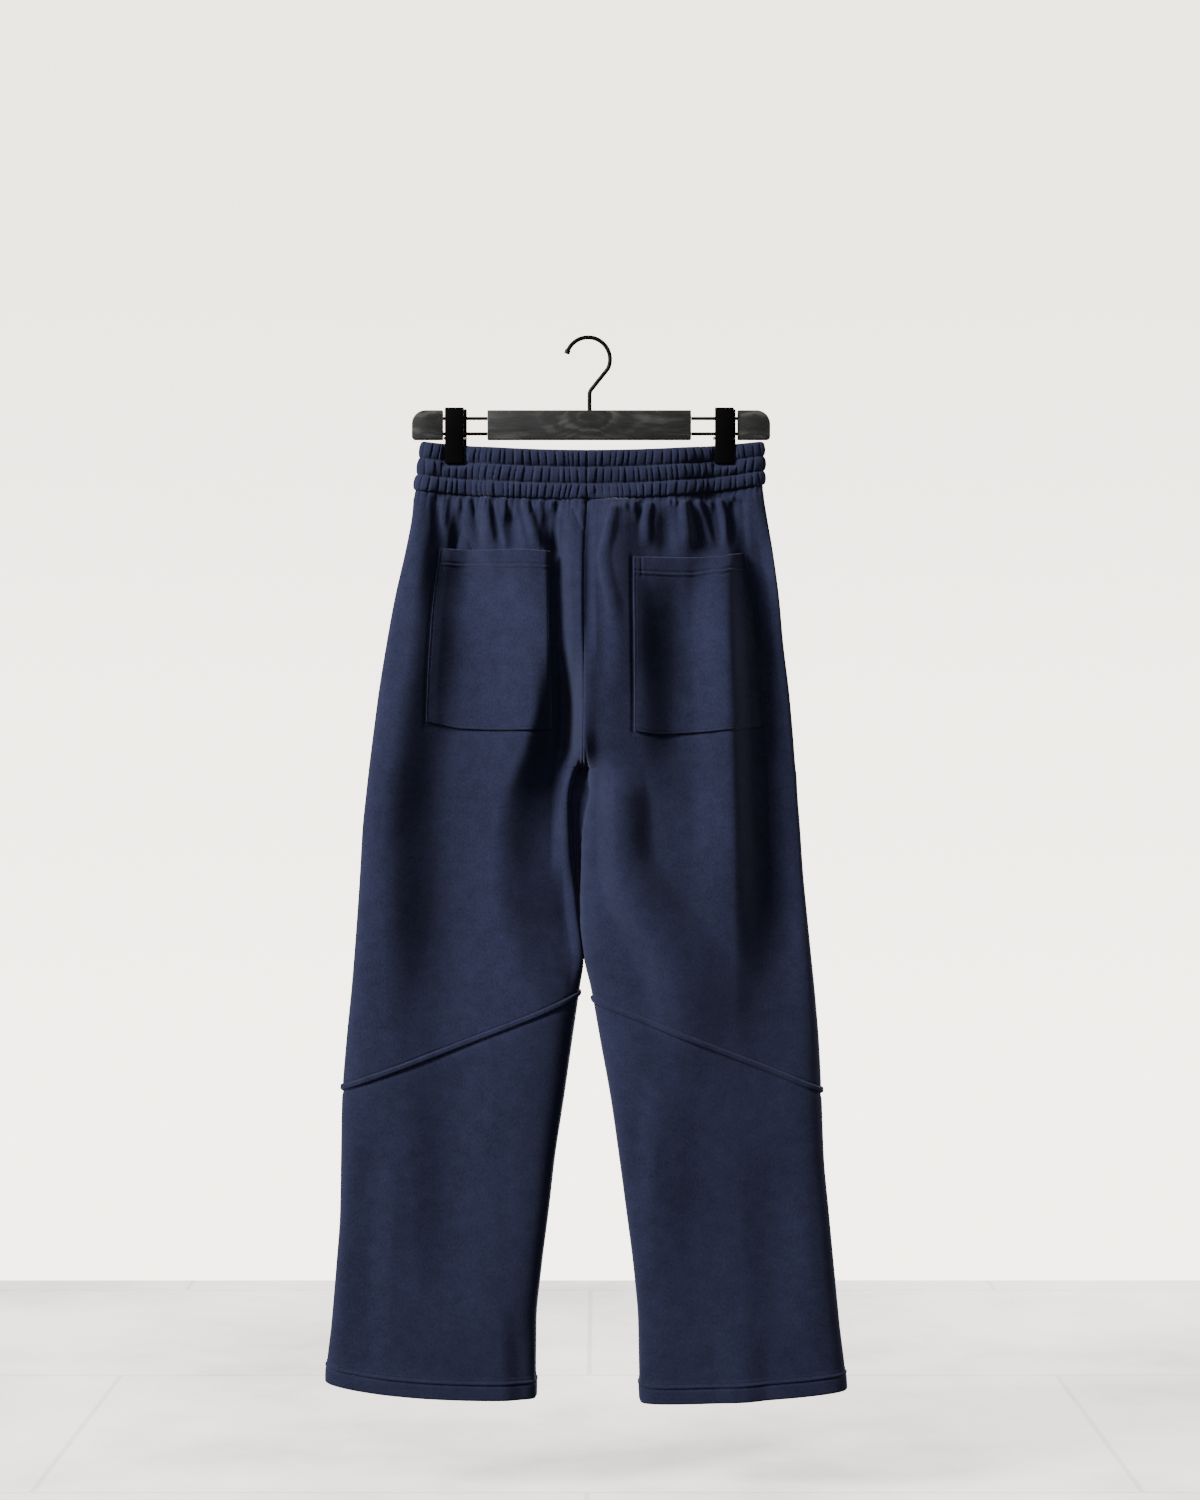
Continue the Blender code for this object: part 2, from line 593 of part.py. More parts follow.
def make_clip(side, plastic, steel):
    """A clip that rides on the two rods: a drilled carrier, two jaws and their pin."""
    middle = CLIP_X[side]
    half = CARRIER["width"] / 2
    depth = CARRIER["half_depth"]
    block = [(-depth, CARRIER["top"]), (depth, CARRIER["top"]),
             (depth, CARRIER["foot"]), (-depth, CARRIER["foot"])]
    carrier = extruded_object(f"clip_carrier_{side}", block, "x",
                              (middle - half, middle + half), plastic)
    for level, drop in ROD_DROPS.items():
        cutter = cylinder_object(f"cutter_{level}_{side}", middle - 2 * half, middle + 2 * half,
                                 drop, ROD_RADIUS + FIT_GAP, ROD_SIDES, plastic)
        cutter.hide_render = True
        cutter.display_type = "WIRE"
        drilling = carrier.modifiers.new("Rod hole " + level, "BOOLEAN")
        drilling.operation = "DIFFERENCE"
        drilling.object = cutter
    cylinder_object(f"clip_pin_{side}", middle - PIN_LENGTH / 2, middle + PIN_LENGTH / 2,
                    PIN_DROP, PIN_RADIUS, ROD_SIDES, steel)
    upper = depth + FIT_GAP
    grip = GRIP_DEPTH + JAW_GRIP_GAP
    inner_face = [(upper, JAW_TOP), (upper, JAW_BEND_DROPS[0]),
                  (grip, JAW_BEND_DROPS[1]), (grip, JAW_FOOT)]
    outer_face = [(y + JAW_THICKNESS, drop) for y, drop in reversed(inner_face)]
    for place, sign in (("near", -1.0), ("far", 1.0)):
        outline = [(sign * y, drop) for y, drop in inner_face + outer_face]
        extruded_object(f"clip_jaw_{place}_{side}", outline, "x",
                        (middle - JAW_WIDTH / 2, middle + JAW_WIDTH / 2), plastic, JAW_BEVEL)


def hook_route():
    """The hook's wire: a round head, a slanted straight and a stem into the bar."""
    radius = HOOK_CENTRE[1] + HOOK_WIRE
    route = []
    for k in range(HOOK_ARC_STEPS + 1):
        turn = math.radians(mix(HOOK_ARC[0], HOOK_ARC[1], k / HOOK_ARC_STEPS))
        route.append((HOOK_CENTRE[0] + radius * math.cos(turn),
                      HOOK_CENTRE[1] - radius * math.sin(turn)))
    return route + list(HOOK_NECK) + [(HOOK_NECK[-1][0], BAR_TOP - FIT_GAP)]


def make_hook(steel):
    curve = bpy.data.curves.new("hook", "CURVE")
    curve.dimensions = "3D"
    curve.bevel_depth = HOOK_WIRE * MM
    curve.bevel_resolution = 2
    curve.use_fill_caps = True
    spline = curve.splines.new("POLY")
    route = hook_route()
    spline.points.add(len(route) - 1)
    for point, (x, drop) in zip(spline.points, route):
        point.co = (x * MM, 0.0, -drop * MM, 1.0)
    curve.materials.append(steel)
    item = bpy.data.objects.new("hook", curve)
    bpy.context.collection.objects.link(item)


def main():
    clear_scene()
    fleece = plain_material("navy fleece", (0.016, 0.020, 0.043), 0.95)
    wood = plain_material("black stained wood", (0.035, 0.034, 0.034), 0.6)
    plastic = plain_material("black plastic", (0.004, 0.004, 0.004), 0.5)
    steel = plain_material("dark steel", (0.10, 0.10, 0.10), 0.35, metallic=1.0)
    for side in ("left", "right"):
        make_half(side, fleece)
    make_waistband(fleece)
    make_bar(wood)
    make_rods(steel)
    for side in ("left", "right"):
        make_clip(side, plastic, steel)
    make_hook(steel)


main()
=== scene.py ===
"""The looks of wide-leg track pants of heavy navy fleece on their clip hanger.

The garment's back faces -Y. Tables and cloth are in millimetres, a drop is a distance below
the inner top of the hook, and points become metres when a mesh is made.
"""

import math
from collections import namedtuple

import bmesh
import bpy
import numpy as np
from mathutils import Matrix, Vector

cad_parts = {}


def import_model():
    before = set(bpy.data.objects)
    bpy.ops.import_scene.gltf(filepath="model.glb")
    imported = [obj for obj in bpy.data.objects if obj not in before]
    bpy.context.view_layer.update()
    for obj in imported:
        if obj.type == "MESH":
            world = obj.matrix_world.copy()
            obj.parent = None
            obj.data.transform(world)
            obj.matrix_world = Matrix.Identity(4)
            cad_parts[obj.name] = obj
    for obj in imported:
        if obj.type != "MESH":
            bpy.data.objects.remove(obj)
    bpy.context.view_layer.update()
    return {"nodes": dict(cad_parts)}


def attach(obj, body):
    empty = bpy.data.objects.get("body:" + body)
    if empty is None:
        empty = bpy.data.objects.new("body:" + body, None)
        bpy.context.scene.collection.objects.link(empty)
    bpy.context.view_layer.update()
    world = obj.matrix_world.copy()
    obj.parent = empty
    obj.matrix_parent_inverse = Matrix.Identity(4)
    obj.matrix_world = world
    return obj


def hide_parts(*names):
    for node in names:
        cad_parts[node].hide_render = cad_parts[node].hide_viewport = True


MM = 0.001

# The photograph's frame
FRAME_SIZE = (1296.0, 1620.0)   # width and height of what the camera sees at the garment
CAMERA_AWAY = 3200.0
CAMERA_X = 14.0
CAMERA_DROP = 444.0
SENSOR = 36.0

# Cloth
WALL = 2.0
BAND_WALL = 3.0
WAIST_TUCK = (1.0, 4.0)         # how far the panels' top edge goes in and up under the band
WAIST_ROLL = (1.6, 0.8)         # how far below the seam that edge turns in, and how deep
WAIST_RECESS = (12.0, 2.0)      # the same for the cloth that goes in under the puffed band
LAY_GAP = 0.35
CROTCH_DROP = 463.0
CROTCH_RISE = 38.0
HIP_TO_LEG = (300.0, 530.0)
INNER_REACH = 0.05
WAIST_BLUNTNESS = 3.0
LEG_BLUNTNESS = 2.7
HEM_BLUNTNESS = 5.2
HEM_BLUNTNESS_DROPS = (620.0, 960.0)
OUTER_BLUNTNESS = {"left": 5.0, "right": 3.6}     # of the back, towards the side seams
BLUNTNESS_DROPS = (160.0, 300.0)

# Waistband
CHANNELS = 3
CHANNEL_BULGE = 2.9
SIDE_FLATNESS = 0.5       # share of the swell that is left where the band turns at the side
BAND_TOP_CENTRE = 121.0
BAND_TOP_SIDE = 111.0
BAND_RUN_DROP = 170.0
RIB_WIDTHS = (4.6, 11.0)
RIB_HEIGHTS = (1.7, 3.8)
RIB_ROUNDNESS = 4.6
PUCKER_HEIGHT = 2.6
PUCKER_LENGTH = 12.0

# Hanger
CLIP_X = {"left": -142.9, "right": 148.0}
GRIP_DEPTH = 3.6
GRIP_FLAT = 12.0
GRIP_FADE = 46.0
GRIP_DROPS = (165.0, 320.0)
BAR_TOP = 77.5
BAR_FOOT = 109.0
BAR_DEPTH = 12.0
BAR_CENTRE_X = (-107.5, 112.3)
BAR_END_X = {"left": (-189.0, -155.5), "right": (197.6, 162.5)}
BAR_END_RADIUS = 15.0
BAR_END_CUT = 2.0
BAR_BEVEL = 1.0
BAR_ARC_STEPS = 14
ROD_DROPS = {"upper": 86.0, "lower": 102.6}
FIT_GAP = 0.3
CARRIER_HALF_DEPTH = 6.0
PIN_RADIUS = 1.5
PIN_DROP = 107.4
PIN_LENGTH = 24.0
PIN_BEVEL = 0.4
JAW_WIDTH = 19.6
JAW_LOOK_WIDTH = 20.4
FAR_JAW_SHIFT = 2.6         # the far jaw sits a little askew on the rods
JAW_THICKNESS = 4.0
JAW_TOP = 75.0
JAW_BEND_DROPS = (106.0, 116.0)
JAW_FOOT = 135.3
JAW_GRIP_GAP = 0.4
JAW_BEVEL = 1.1
HOOK_WIRE = 1.65
HOOK_LOOK_RADIUS = 2.3      # the wire and rods are drawn thicker, as a bright wall thins them
HOOK_TIP_SWELL = 1.35       # how much thicker the cap at its tip is
ROD_LOOK_RADIUS = 1.8
ROD_BEVEL = 0.1
BAR_SIDES = 28
BEVELLED_FROM = math.radians(35.0)
SHARP_FROM = math.radians(50.0)
HOOK_STEPS = 64
HOOK_TIP_POINTS = 4
HOOK_CENTRE = (1.1, 22.1)
HOOK_ARC = (165.0, -25.0)
HOOK_NECK = ((4.3, 55.0), (3.1, 57.5), (2.7, 60.0))

# Outline and fullness, as in the cloth's solids
Section = namedtuple("Section", "drop outer_l inner_l inner_r outer_r back front")
SECTIONS = (
    Section(111.0, -178.0, 0.0, 0.0, 189.0, 13, 10),
    Section(140.0, -182.0, 0.0, 0.0, 190.5, 14, 11),
    Section(164.0, -185.5, 0.0, 0.0, 190.0, 16, 12),
    Section(190.0, -188.5, -1.0, -1.0, 194.0, 21, 16),
    Section(230.0, -196.0, -3.0, -3.0, 201.0, 28, 21),
    Section(280.0, -207.0, -4.0, -4.0, 207.5, 34, 26),
    Section(330.0, -216.0, -3.5, -3.5, 212.0, 39, 30),
    Section(380.0, -224.0, -3.5, -3.5, 218.0, 42, 33),
    Section(430.0, -230.5, -4.0, -4.0, 222.5, 44, 35),
    Section(463.0, -234.5, -4.3, -4.3, 225.0, 45, 36),
    Section(470.0, -235.3, -5.6, -6.0, 226.0, 45, 36),
    Section(490.0, -237.5, -7.3, -7.7, 227.0, 45, 37),
    Section(530.0, -241.5, -10.8, -11.2, 230.0, 46, 38),
    Section(575.0, -244.0, -9.8, -10.2, 233.0, 47, 39),
    Section(620.0, -247.0, -8.3, -8.7, 237.3, 47, 39),
    Section(668.0, -250.6, -3.4, -3.6, 242.0, 46, 38),
    Section(700.0, -253.3, -7.6, 3.8, 245.2, 45, 37),
    Section(760.0, -259.2, -16.2, 14.6, 250.0, 44, 36),
    Section(820.0, -263.5, -24.8, 25.4, 252.7, 42, 35),
    Section(880.0, -264.6, -34.0, 34.0, 254.9, 40, 34),
    Section(940.0, -265.7, -41.0, 42.0, 260.3, 38, 33),
    Section(1000.0, -270.0, -48.6, 49.7, 266.0, 36, 31),
    Section(1060.0, -275.0, -54.5, 55.0, 271.8, 34, 30),
    Section(1120.0, -280.8, -55.0, 56.2, 278.6, 32, 29),
    Section(1150.0, -280.8, -55.0, 57.5, 280.0, 31, 28),
)

# The hollow behind the crotch: how wide a strip by each inseam lies back, nearly flat
Hollow = namedtuple("Hollow", "drop strip_l strip_r")
HOLLOWS = (
    Hollow(420.0, 0.0, 0.0),
    Hollow(463.0, 5.4, 5.5),
    Hollow(472.0, 7.2, 7.3),
    Hollow(490.0, 10.0, 10.0),
    Hollow(530.0, 6.0, 6.0),
    Hollow(575.0, 3.5, 3.5),
    Hollow(620.0, 1.5, 1.5),
    Hollow(668.0, 0.0, 0.0),
)
HOLLOW_SLOPE = 0.035

# Lines across a half; steps and spread say how the rows lead on to the next line.
Line = namedtuple("Line", "name inner_l side_l bend_l inner_r side_r bend_r steps spread")
KNEE_RIDGE_ZONE = 12.0
KNEE_TUCK_ZONE = 8.0
HEM_ZONE = 30.0
KNEE = (708.5, 809.0, 0.88, 715.0, 812.0, 1.0)
HEM = (1141.0, 1123.0, 3.0, 1145.0, 1131.0, 2.0)


def beside(name, line, below, steps):
    """A line that keeps this far below another one."""
    inner_l, side_l, bend_l, inner_r, side_r, bend_r = line
    return Line(name, inner_l + below, side_l + below, bend_l,
                inner_r + below, side_r + below, bend_r, steps, "even")


LINES = (
    Line("waist seam", 175.5, 164.5, 2.0, 175.5, 158.5, 2.0, 56, "even"),
    Line("gather foot", 262.0, 254.0, 1.0, 262.0, 254.0, 1.0, 56, "even"),
    Line("pocket foot", 425.0, 411.0, 0.7, 425.0, 417.5, 2.0, 20, "arc"),
    Line("crotch", 463.0, 470.0, 1.0, 463.0, 470.0, 1.0, 76, "slow"),
    beside("knee ridge", KNEE, -KNEE_RIDGE_ZONE, 18),
    beside("knee seam", KNEE, 0.0, 8),
    beside("knee tuck", KNEE, KNEE_TUCK_ZONE, 74),
    beside("hem fold", HEM, -HEM_ZONE, 34),
    beside("hem", HEM, 0.0, 0),
)
BACK_COLUMNS = 170
FRONT_COLUMNS = 104
INSIDE_STEP = 2         # the hidden side of a wall has every second row and column

# Large folds: a path of (x, drop, half width), a lean that makes one flank steeper (above 0 the
# right one), a height out of the cloth, less than 0 for a trough, and the lengths of drop over
# which it grows and fades.
Fold = namedtuple("Fold", "side face path lean height grow fade")
FOLDS = (
    Fold("left", "back", ((0, 160, 35), (0, 240, 32), (2, 300, 29), (6, 350, 27), (8, 400, 26),
                          (8, 480, 26)), 0.0, 14, 44, 60),
    Fold("left", "back", ((1.5, 165, 9), (1.5, 370, 9)), 0.0, -5, 14, 70),
    Fold("left", "back", ((-34, 195, 13), (-31, 260, 15), (-29, 330, 15), (-29, 430, 15),
                          (-32, 500, 15)), 0.0, -12, 40, 90),
    Fold("left", "back", ((-24, 320, 30), (-22, 390, 29), (-27, 444, 36), (-36, 498, 46),
                          (-38, 552, 52), (-32, 606, 54), (-24, 660, 50), (-16, 730, 44)),
         0.25, -30, 90, 110),
    Fold("left", "back", ((-20, 440, 15), (-21, 500, 17), (-22, 560, 18), (-23, 600, 18)),
         0.0, 10, 40, 60),
    Fold("left", "back", ((-134, 180, 50), (-130, 330, 76), (-140, 430, 86), (-144, 498, 92),
                          (-143, 606, 96), (-139, 700, 96), (-132, 860, 92)), -0.20, -31, 90, 250),
    Fold("left", "back", ((-152, 760, 48), (-150, 860, 46), (-144, 980, 46), (-138, 1080, 46)),
         -0.1, -6, 80, 150),
    Fold("left", "back", ((-224, 830, 26), (-234, 960, 28), (-240, 1140, 30)), 0.0, -4, 70, 80),
    Fold("left", "back", ((-74, 1020, 30), (-70, 1090, 28), (-66, 1150, 28)), -0.2, -4.5, 70, 5),
    Fold("right", "back", ((0, 160, 76), (0, 240, 70), (2, 300, 63), (6, 350, 58.7), (8, 400, 56.5),
                           (8, 480, 56.5)), -0.54, 14, 44, 60),
    Fold("right", "back", ((1.5, 165, 9), (1.5, 370, 9)), 0.0, -5, 14, 70),
    Fold("right", "back", ((30, 160, 26), (27, 206, 27), (26, 240, 28), (31, 282, 30),
                           (36, 336, 32), (38, 400, 32)), -0.35, 8, 24, 90),
    Fold("right", "back", ((26, 440, 24), (31, 498, 30), (32, 552, 33), (50, 606, 48),
                           (82, 660, 56), (102, 714, 60), (114, 800, 62)), -0.3, 18, 60, 130),
    Fold("right", "back", ((96, 236, 42), (104, 330, 50), (106, 420, 52), (108, 540, 58),
                           (116, 640, 62)), -0.05, -14, 80, 280),
    Fold("right", "back", ((143, 210, 28), (149, 330, 30), (153, 430, 32), (155, 560, 36),
                           (158, 700, 44)), 0.25, 10, 50, 170),
    Fold("right", "back", ((184, 170, 28), (191, 330, 39), (197, 430, 43), (203, 560, 45),
                           (207, 660, 47), (212, 820, 50)), 0.1, -22, 80, 220),
    Fold("right", "back", ((84, 770, 38), (76, 860, 38), (72, 960, 36), (76, 1060, 34)),
         -0.3, 5, 70, 150),
    Fold("right", "back", ((196, 840, 40), (202, 960, 40), (206, 1100, 36)), 0.0, -5, 80, 110),
    Fold("right", "back", ((166, 1040, 32), (168, 1100, 30), (170, 1155, 30)), 0.1, 4, 70, 5),
    Fold("left", "front", ((-22, 165, 14), (-24, 300, 16), (-20, 440, 16)), 0.0, 7, 30, 40),
    Fold("left", "front", ((-120, 180, 22), (-110, 300, 26), (-100, 430, 26)), 0.1, -8, 50, 80),
    Fold("left", "front", ((-60, 430, 26), (-90, 560, 34), (-120, 700, 36)), 0.2, -10, 60, 90),
    Fold("left", "front", ((-185, 200, 24), (-196, 400, 34), (-200, 700, 36)), 0.2, -9, 70, 120),
    Fold("right", "front", ((24, 165, 13), (20, 280, 15), (22, 410, 15)), 0.0, 7, 30, 40),
    Fold("right", "front", ((130, 180, 22), (122, 310, 26), (110, 440, 26)), -0.1, -8, 50, 80),
    Fold("right", "front", ((52, 440, 26), (85, 570, 34), (120, 720, 36)), 0.2, -10, 60, 90),
    Fold("right", "front", ((172, 190, 22), (180, 360, 32), (188, 660, 34)), -0.2, -9, 70, 120),
)

# Smaller creases in the same terms: those of the gathers under the waistband
Crease = namedtuple("Crease", "side path lean height grow fade")
GATHERS = (
    Crease("left", ((-164, 168, 7.2), (-161, 212, 9.6), (-164, 247, 14.4)), 0.0, -2.5, 8, 54),
    Crease("left", ((-153, 169, 5.4), (-155, 210, 6)), 0.0, 2.5, 5, 20),
    Crease("left", ((-139, 169, 5.4), (-139, 195, 6)), 0.0, 3.0, 5, 16),
    Crease("left", ((-141, 184, 7), (-140, 214, 11), (-139, 246, 14)), 0.0, -4.8, 30, 24),
    Crease("left", ((-129, 169, 6), (-127, 202, 9.6), (-123, 232, 10.8)), 0.0, 4.5, 6, 24),
    Crease("left", ((-122, 170, 3), (-121, 199, 3)), 0.0, -2.5, 4, 16),
    Crease("left", ((-111, 170, 6), (-108, 202, 9.6), (-104, 236, 10.8)), 0.0, 5.0, 6, 27),
    Crease("left", ((-102, 171, 4.2), (-97, 199, 6), (-90, 234, 7.2)), 0.2, -3.1, 5, 24),
    Crease("left", ((-91, 172, 4.8), (-86, 205, 7.2)), 0.0, 3.0, 5, 19),
    Crease("left", ((-84, 176, 7), (-79, 206, 11), (-74, 246, 13)), 0.1, -5.2, 24, 22),
    Crease("left", ((-69, 173, 4.8), (-59, 202, 8.4), (-52, 232, 9.6)), 0.0, 5.0, 6, 24),
    Crease("left", ((-61, 174, 2.6), (-58, 192, 3)), 0.0, -2.5, 4, 11),
    Crease("left", ((-52, 174, 4.2), (-50, 190, 4.8)), 0.0, 2.5, 4, 11),
    Crease("left", ((-37, 174, 4.2), (-37, 190, 4.8)), 0.0, 2.5, 4, 11),
    Crease("left", ((-42, 180, 7), (-41, 212, 11), (-40, 246, 12)), 0.0, -4.4, 20, 22),
    Crease("left", ((-31, 175, 4.8), (-33, 206, 4.8), (-33, 245, 6)), 0.3, -3.1, 6, 27),
    Crease("left", ((-25, 183, 6), (-16, 210, 7.2), (-11, 250, 9.6)), 0.0, 2.0, 10, 34),
    Crease("left", ((-16, 183, 3), (-3, 214, 3.6)), 0.0, -3.0, 6, 16),
    Crease("right", ((28, 176, 8), (21, 210, 9), (15, 238, 9), (18, 262, 10), (24, 286, 11),
                     (28, 322, 12)), -0.45, 4.2, 10, 50),
    Crease("right", ((40, 175, 4.8), (41, 190, 4.8)), 0.0, 3.0, 4, 11),
    Crease("right", ((50, 175, 4.8), (50, 192, 4.8)), 0.0, 3.0, 4, 11),
    Crease("right", ((58, 175, 4.8), (57, 208, 6)), 0.0, -3.1, 5, 19),
    Crease("right", ((68, 175, 6), (64, 202, 8.4), (65, 232, 9.6)), 0.0, 4.5, 6, 22),
    Crease("right", ((84, 180, 9), (85, 210, 13), (86, 246, 14)), 0.0, -4.0, 24, 24),
    Crease("right", ((88, 173, 3.6), (88, 185, 3.6)), 0.0, 2.5, 3, 8),
    Crease("right", ((95, 173, 3.6), (95, 185, 3.6)), 0.0, 2.5, 3, 8),
    Crease("right", ((105, 173, 6), (108, 202, 9.6), (112, 236, 10.8)), 0.3, 5.5, 6, 24),
    Crease("right", ((112, 174, 3), (119, 210, 3.6), (124, 232, 4.8)), 0.0, -2.5, 5, 16),
    Crease("right", ((119, 173, 4.8), (129, 202, 6), (137, 234, 7.2)), 0.0, 4.0, 5, 22),
    Crease("right", ((132, 173, 4.8), (134, 192, 4.8)), 0.0, 2.5, 4, 11),
    Crease("right", ((143, 171, 4.8), (149, 202, 7.2), (151, 232, 8.4)), 0.0, 4.0, 5, 22),
    Crease("right", ((158, 170, 7), (158, 236, 12)), 0.0, -3.8, 12, 34),
    Crease("right", ((156, 168, 3), (157, 178, 3.6)), 0.0, 2.0, 3, 7),
    Crease("right", ((167, 170, 6), (170, 245, 9.6)), 0.0, -2.5, 8, 34),
)
BACK_FORMS = (
    Crease("right", ((57, 236, 2.5), (57, 264, 2.5)), 0.0, -1.2, 4, 10),
)
GATHER_STRENGTH = 1.1
DENTS = 46
DENT_HEIGHT = 1.3
DENT_SIZES = (22.0, 60.0)

# Seams, ridges and hems
SEAM_ROLL = 1.3
SEAM_ROLL_WIDTH = 2.6
KNEE_RIDGE = 2.3
KNEE_RIDGE_WIDTH = 5.2
KNEE_STITCH = 6.6
KNEE_TUCK = 1.0
HEM_ROWS = (16.0, 21.2)
HEM_SWELL = 1.2
GROOVE_HALF_WIDTH = 1.7
GROOVE_DEPTH = 1.1

# Pockets: shares of a half's width at the mouth and foot, and the two lines' own drops
PocketSides = namedtuple("PocketSides", "inner_mouth inner_foot outer_mouth outer_foot")
POCKET_SIDES = {
    "left": PocketSides(0.190, 0.155, 0.812, 0.751),
    "right": PocketSides(0.253, 0.238, 0.846, 0.864),
}
POCKET_MOUTH = {
    "left": ((0.0, 231.5), (0.25, 229.4), (0.6, 227.6), (1.0, 226.0)),
    "right": ((0.0, 238.0), (0.4, 238.6), (0.78, 238.6), (0.86, 234.6), (1.0, 231.2)),
}
POCKET_FOOT = {
    "left": ((0.0, 421.5), (0.35, 423.0), (0.7, 421.5), (1.0, 413.8)),
    "right": ((0.0, 424.0), (0.2, 427.6), (0.5, 425.6), (0.85, 420.4), (1.0, 418.6)),
}
POCKET_GRID = (96, 132)
POCKET_ROWS = (15.5, 20.2)
POCKET_EDGE_STITCH = 2.4
POCKET_GROOVE = 1.5
POCKET_GROOVE_HALF_WIDTH = 3.0
OUTER_EDGE_GROOVE = 0.35    # share of that groove by the side seam, where the edge lies flat
OUTER_EDGE_SINK = (14.0, 1.5)
POCKET_MOUTH_LIFT = 2.2
POCKET_MOUTH_FADE = 45.0

# Thread
STITCH_PITCH = 2.8
STITCH_LENGTH = 2.0
STITCH_WIDTH = 0.55

# Fine relief. A pair is a reach along the cloth and a depth, where nothing else is said.
FOLD_FADE = 1.6                 # folds are whole where the form's fullness is above 1 / this
FRONT_SPREAD = 1.04             # how much wider apart the front's gathers are than the back's
FRONT_SHIFT = {"right": 5.0, "left": -4.0}
FRONT_DROP = (1.03, -5.0)       # their drops are the back's, times the first and plus the second
FRONT_WIDTH = 1.1
FRONT_HEIGHT = 0.9
EVEN_DROPS = (230.0, 600.0)
SLOW_START = 1.25
FINE_POINTS = 3001
RUN_POINTS = 600
KNEE_SLANT = 0.94               # a distance square to the slanted knee seam for each mm of drop
BAND_RIM = (1.6, 0.8)
BAND_FOOT = (3.0, 3.6)
BAND_SEAM = (0.7, 1.8)          # a groove: a depth and half a width
RIB_WAVER = (31.0, 2.4)         # the ribs wander sideways: over what length, and how far
RIB_TURN = 2.1                  # how far that waver is shifted from one channel to the next
RIB_AT_STITCH = 0.15            # share of a rib's height that is left at the stitches
CHANNEL_ROUNDNESS = 0.55
GRIPPED_BESIDE = (1.0, 6.0)
GRIPPED_BELOW = 7.0
SIDE_SHARES = (0.9, 1.0)
GRIPPED_SWELL = 0.12            # share of the swell that is left under a clip
STITCH_LIFT = 0.12
BAND_STITCH_LIFT = 0.15
LONGEST_RUN = 230.0             # more than a quarter of the waist
DENT_X = (20.0, 270.0)
DENT_DROPS = (230.0, 1130.0)
DENT_FADE = (200.0, 260.0)
DENT_SLANT = 0.35
DENT_STRETCH = 2.2
COVER_SHARES = (0.04, 0.02)     # the gathers fade this far outside and inside a pocket's sides
COVER_DROPS = (6.0, 12.0)       # and this far above and below its mouth
KNEE_RIDGE_EDGE = (1.6, 0.6)    # its edge falls from this far outside to this far inside
KNEE_ROLL = (1.8, 1.6)
KNEE_GROOVE = (0.7, 1.5)        # a groove, as above
KNEE_REACH = 20.0
HEM_FADE = 3.0
HEM_STRIP = (0.5, 2.2)          # a strip is a height and half a width
HEM_ROLL = (2.4, 1.5)
POCKET_GROOVE_AWAY = 0.8
OUTER_EDGE_SHARES = (0.75, 0.97)
MOUTH_SHARES = (-0.03, 0.02)
POCKET_ROLL = (1.1, 1.3)
OUTER_EDGE_ROLL = 0.85          # share of that roll that is gone by the side seam
MOUTH_ROLL = (1.5, 0.9)
EDGE_GROOVE = (0.45, 1.3)
MOUTH_SWELL = (0.7, 2.5)        # a height, and over what length it ends
MOUTH_GROOVES = ((1.2, 1.5), (1.2, 1.6))
MOUTH_STRIP = (0.5, 2.0)
SEWN_DETAIL = 0.35              # share of the mouth's detail that is left at the sewn edges
FREE_REACH = 9.0
MOUTH_ROUNDNESS = 0.7
EDGE_CROWDING = 0.55
THINNEST_WALL = 0.4

# Surfaces
KNOTS = {
    "centre": (0.002, 0.0, -0.086),
    "left": (-0.171, 0.0, -0.092),
    "right": (0.181, 0.0, -0.093),
}
KNOT_REACH = 0.030
KNOT_BEND = -0.016
KNOT_ROUND = (46.0, 120.0)

FLEECE_DARK = (0.0086, 0.0101, 0.0272)
FLEECE_LIGHT = (0.0200, 0.0226, 0.0556)
THREAD_DARK = (0.016, 0.020, 0.042)
THREAD_LIGHT = (0.030, 0.036, 0.066)

Steel = namedtuple("Steel", "name dark light roughness")
ROD_STEEL = Steel("dark rod steel", (0.012, 0.011, 0.010), (0.025, 0.022, 0.020), 0.5)
HOOK_STEEL = Steel("dark hook steel", (0.010, 0.0095, 0.009), (0.022, 0.020, 0.018), 0.5)
PIN_STEEL = Steel("bright pin steel", (0.45, 0.45, 0.46), (0.6, 0.6, 0.61), 0.25)

# Room
FLOOR_DROP = 1246.0
FLOOR_BOX = (-4.5, -3.4, 4.5, 1.28)
FLOOR_GLOW = 1.72
Lamp = namedtuple("Lamp", "name place size power")
LAMPS = (
    Lamp("lamp_key", (-3.05, -2.1, 1.55), 1.2, 375.0),
    Lamp("lamp_front", (0.6, -3.0, 0.9), 0.5, 9.0),
    Lamp("lamp_low", (0.1, -1.9, -1.6), 1.2, 8.0),
    Lamp("lamp_rim_right", (2.2, 0.7, -0.5), 1.2, 22.0),
    Lamp("lamp_rim_left", (-2.4, 0.8, 0.0), 1.2, 3.0),
    Lamp("lamp_behind", (1.6, 3.2, 1.0), 1.2, 130.0),
)
LAMP_TARGET = (0.0, 0.0, -0.55)
WORLD_AIR = 0.09
WORLD_WALL = (-0.10, 0.16, 5.4, 3.9)   # from and to these heights of view, these strengths
WORLD_TINT = (1.0, 0.915, 0.80, 1.0)

# The size each piece is cut to before it is gathered and hung: width, length and area, in metres
Cut = namedtuple("Cut", "width length area held rests_on")


def mix(start, end, share):
    return start + (end - start) * share


def ease(start, end, value):
    """Rise smoothly from 0 at start to 1 at end."""
    share = np.clip((value - start) / (end - start), 0.0, 1.0)
    return share * share * (3.0 - 2.0 * share)


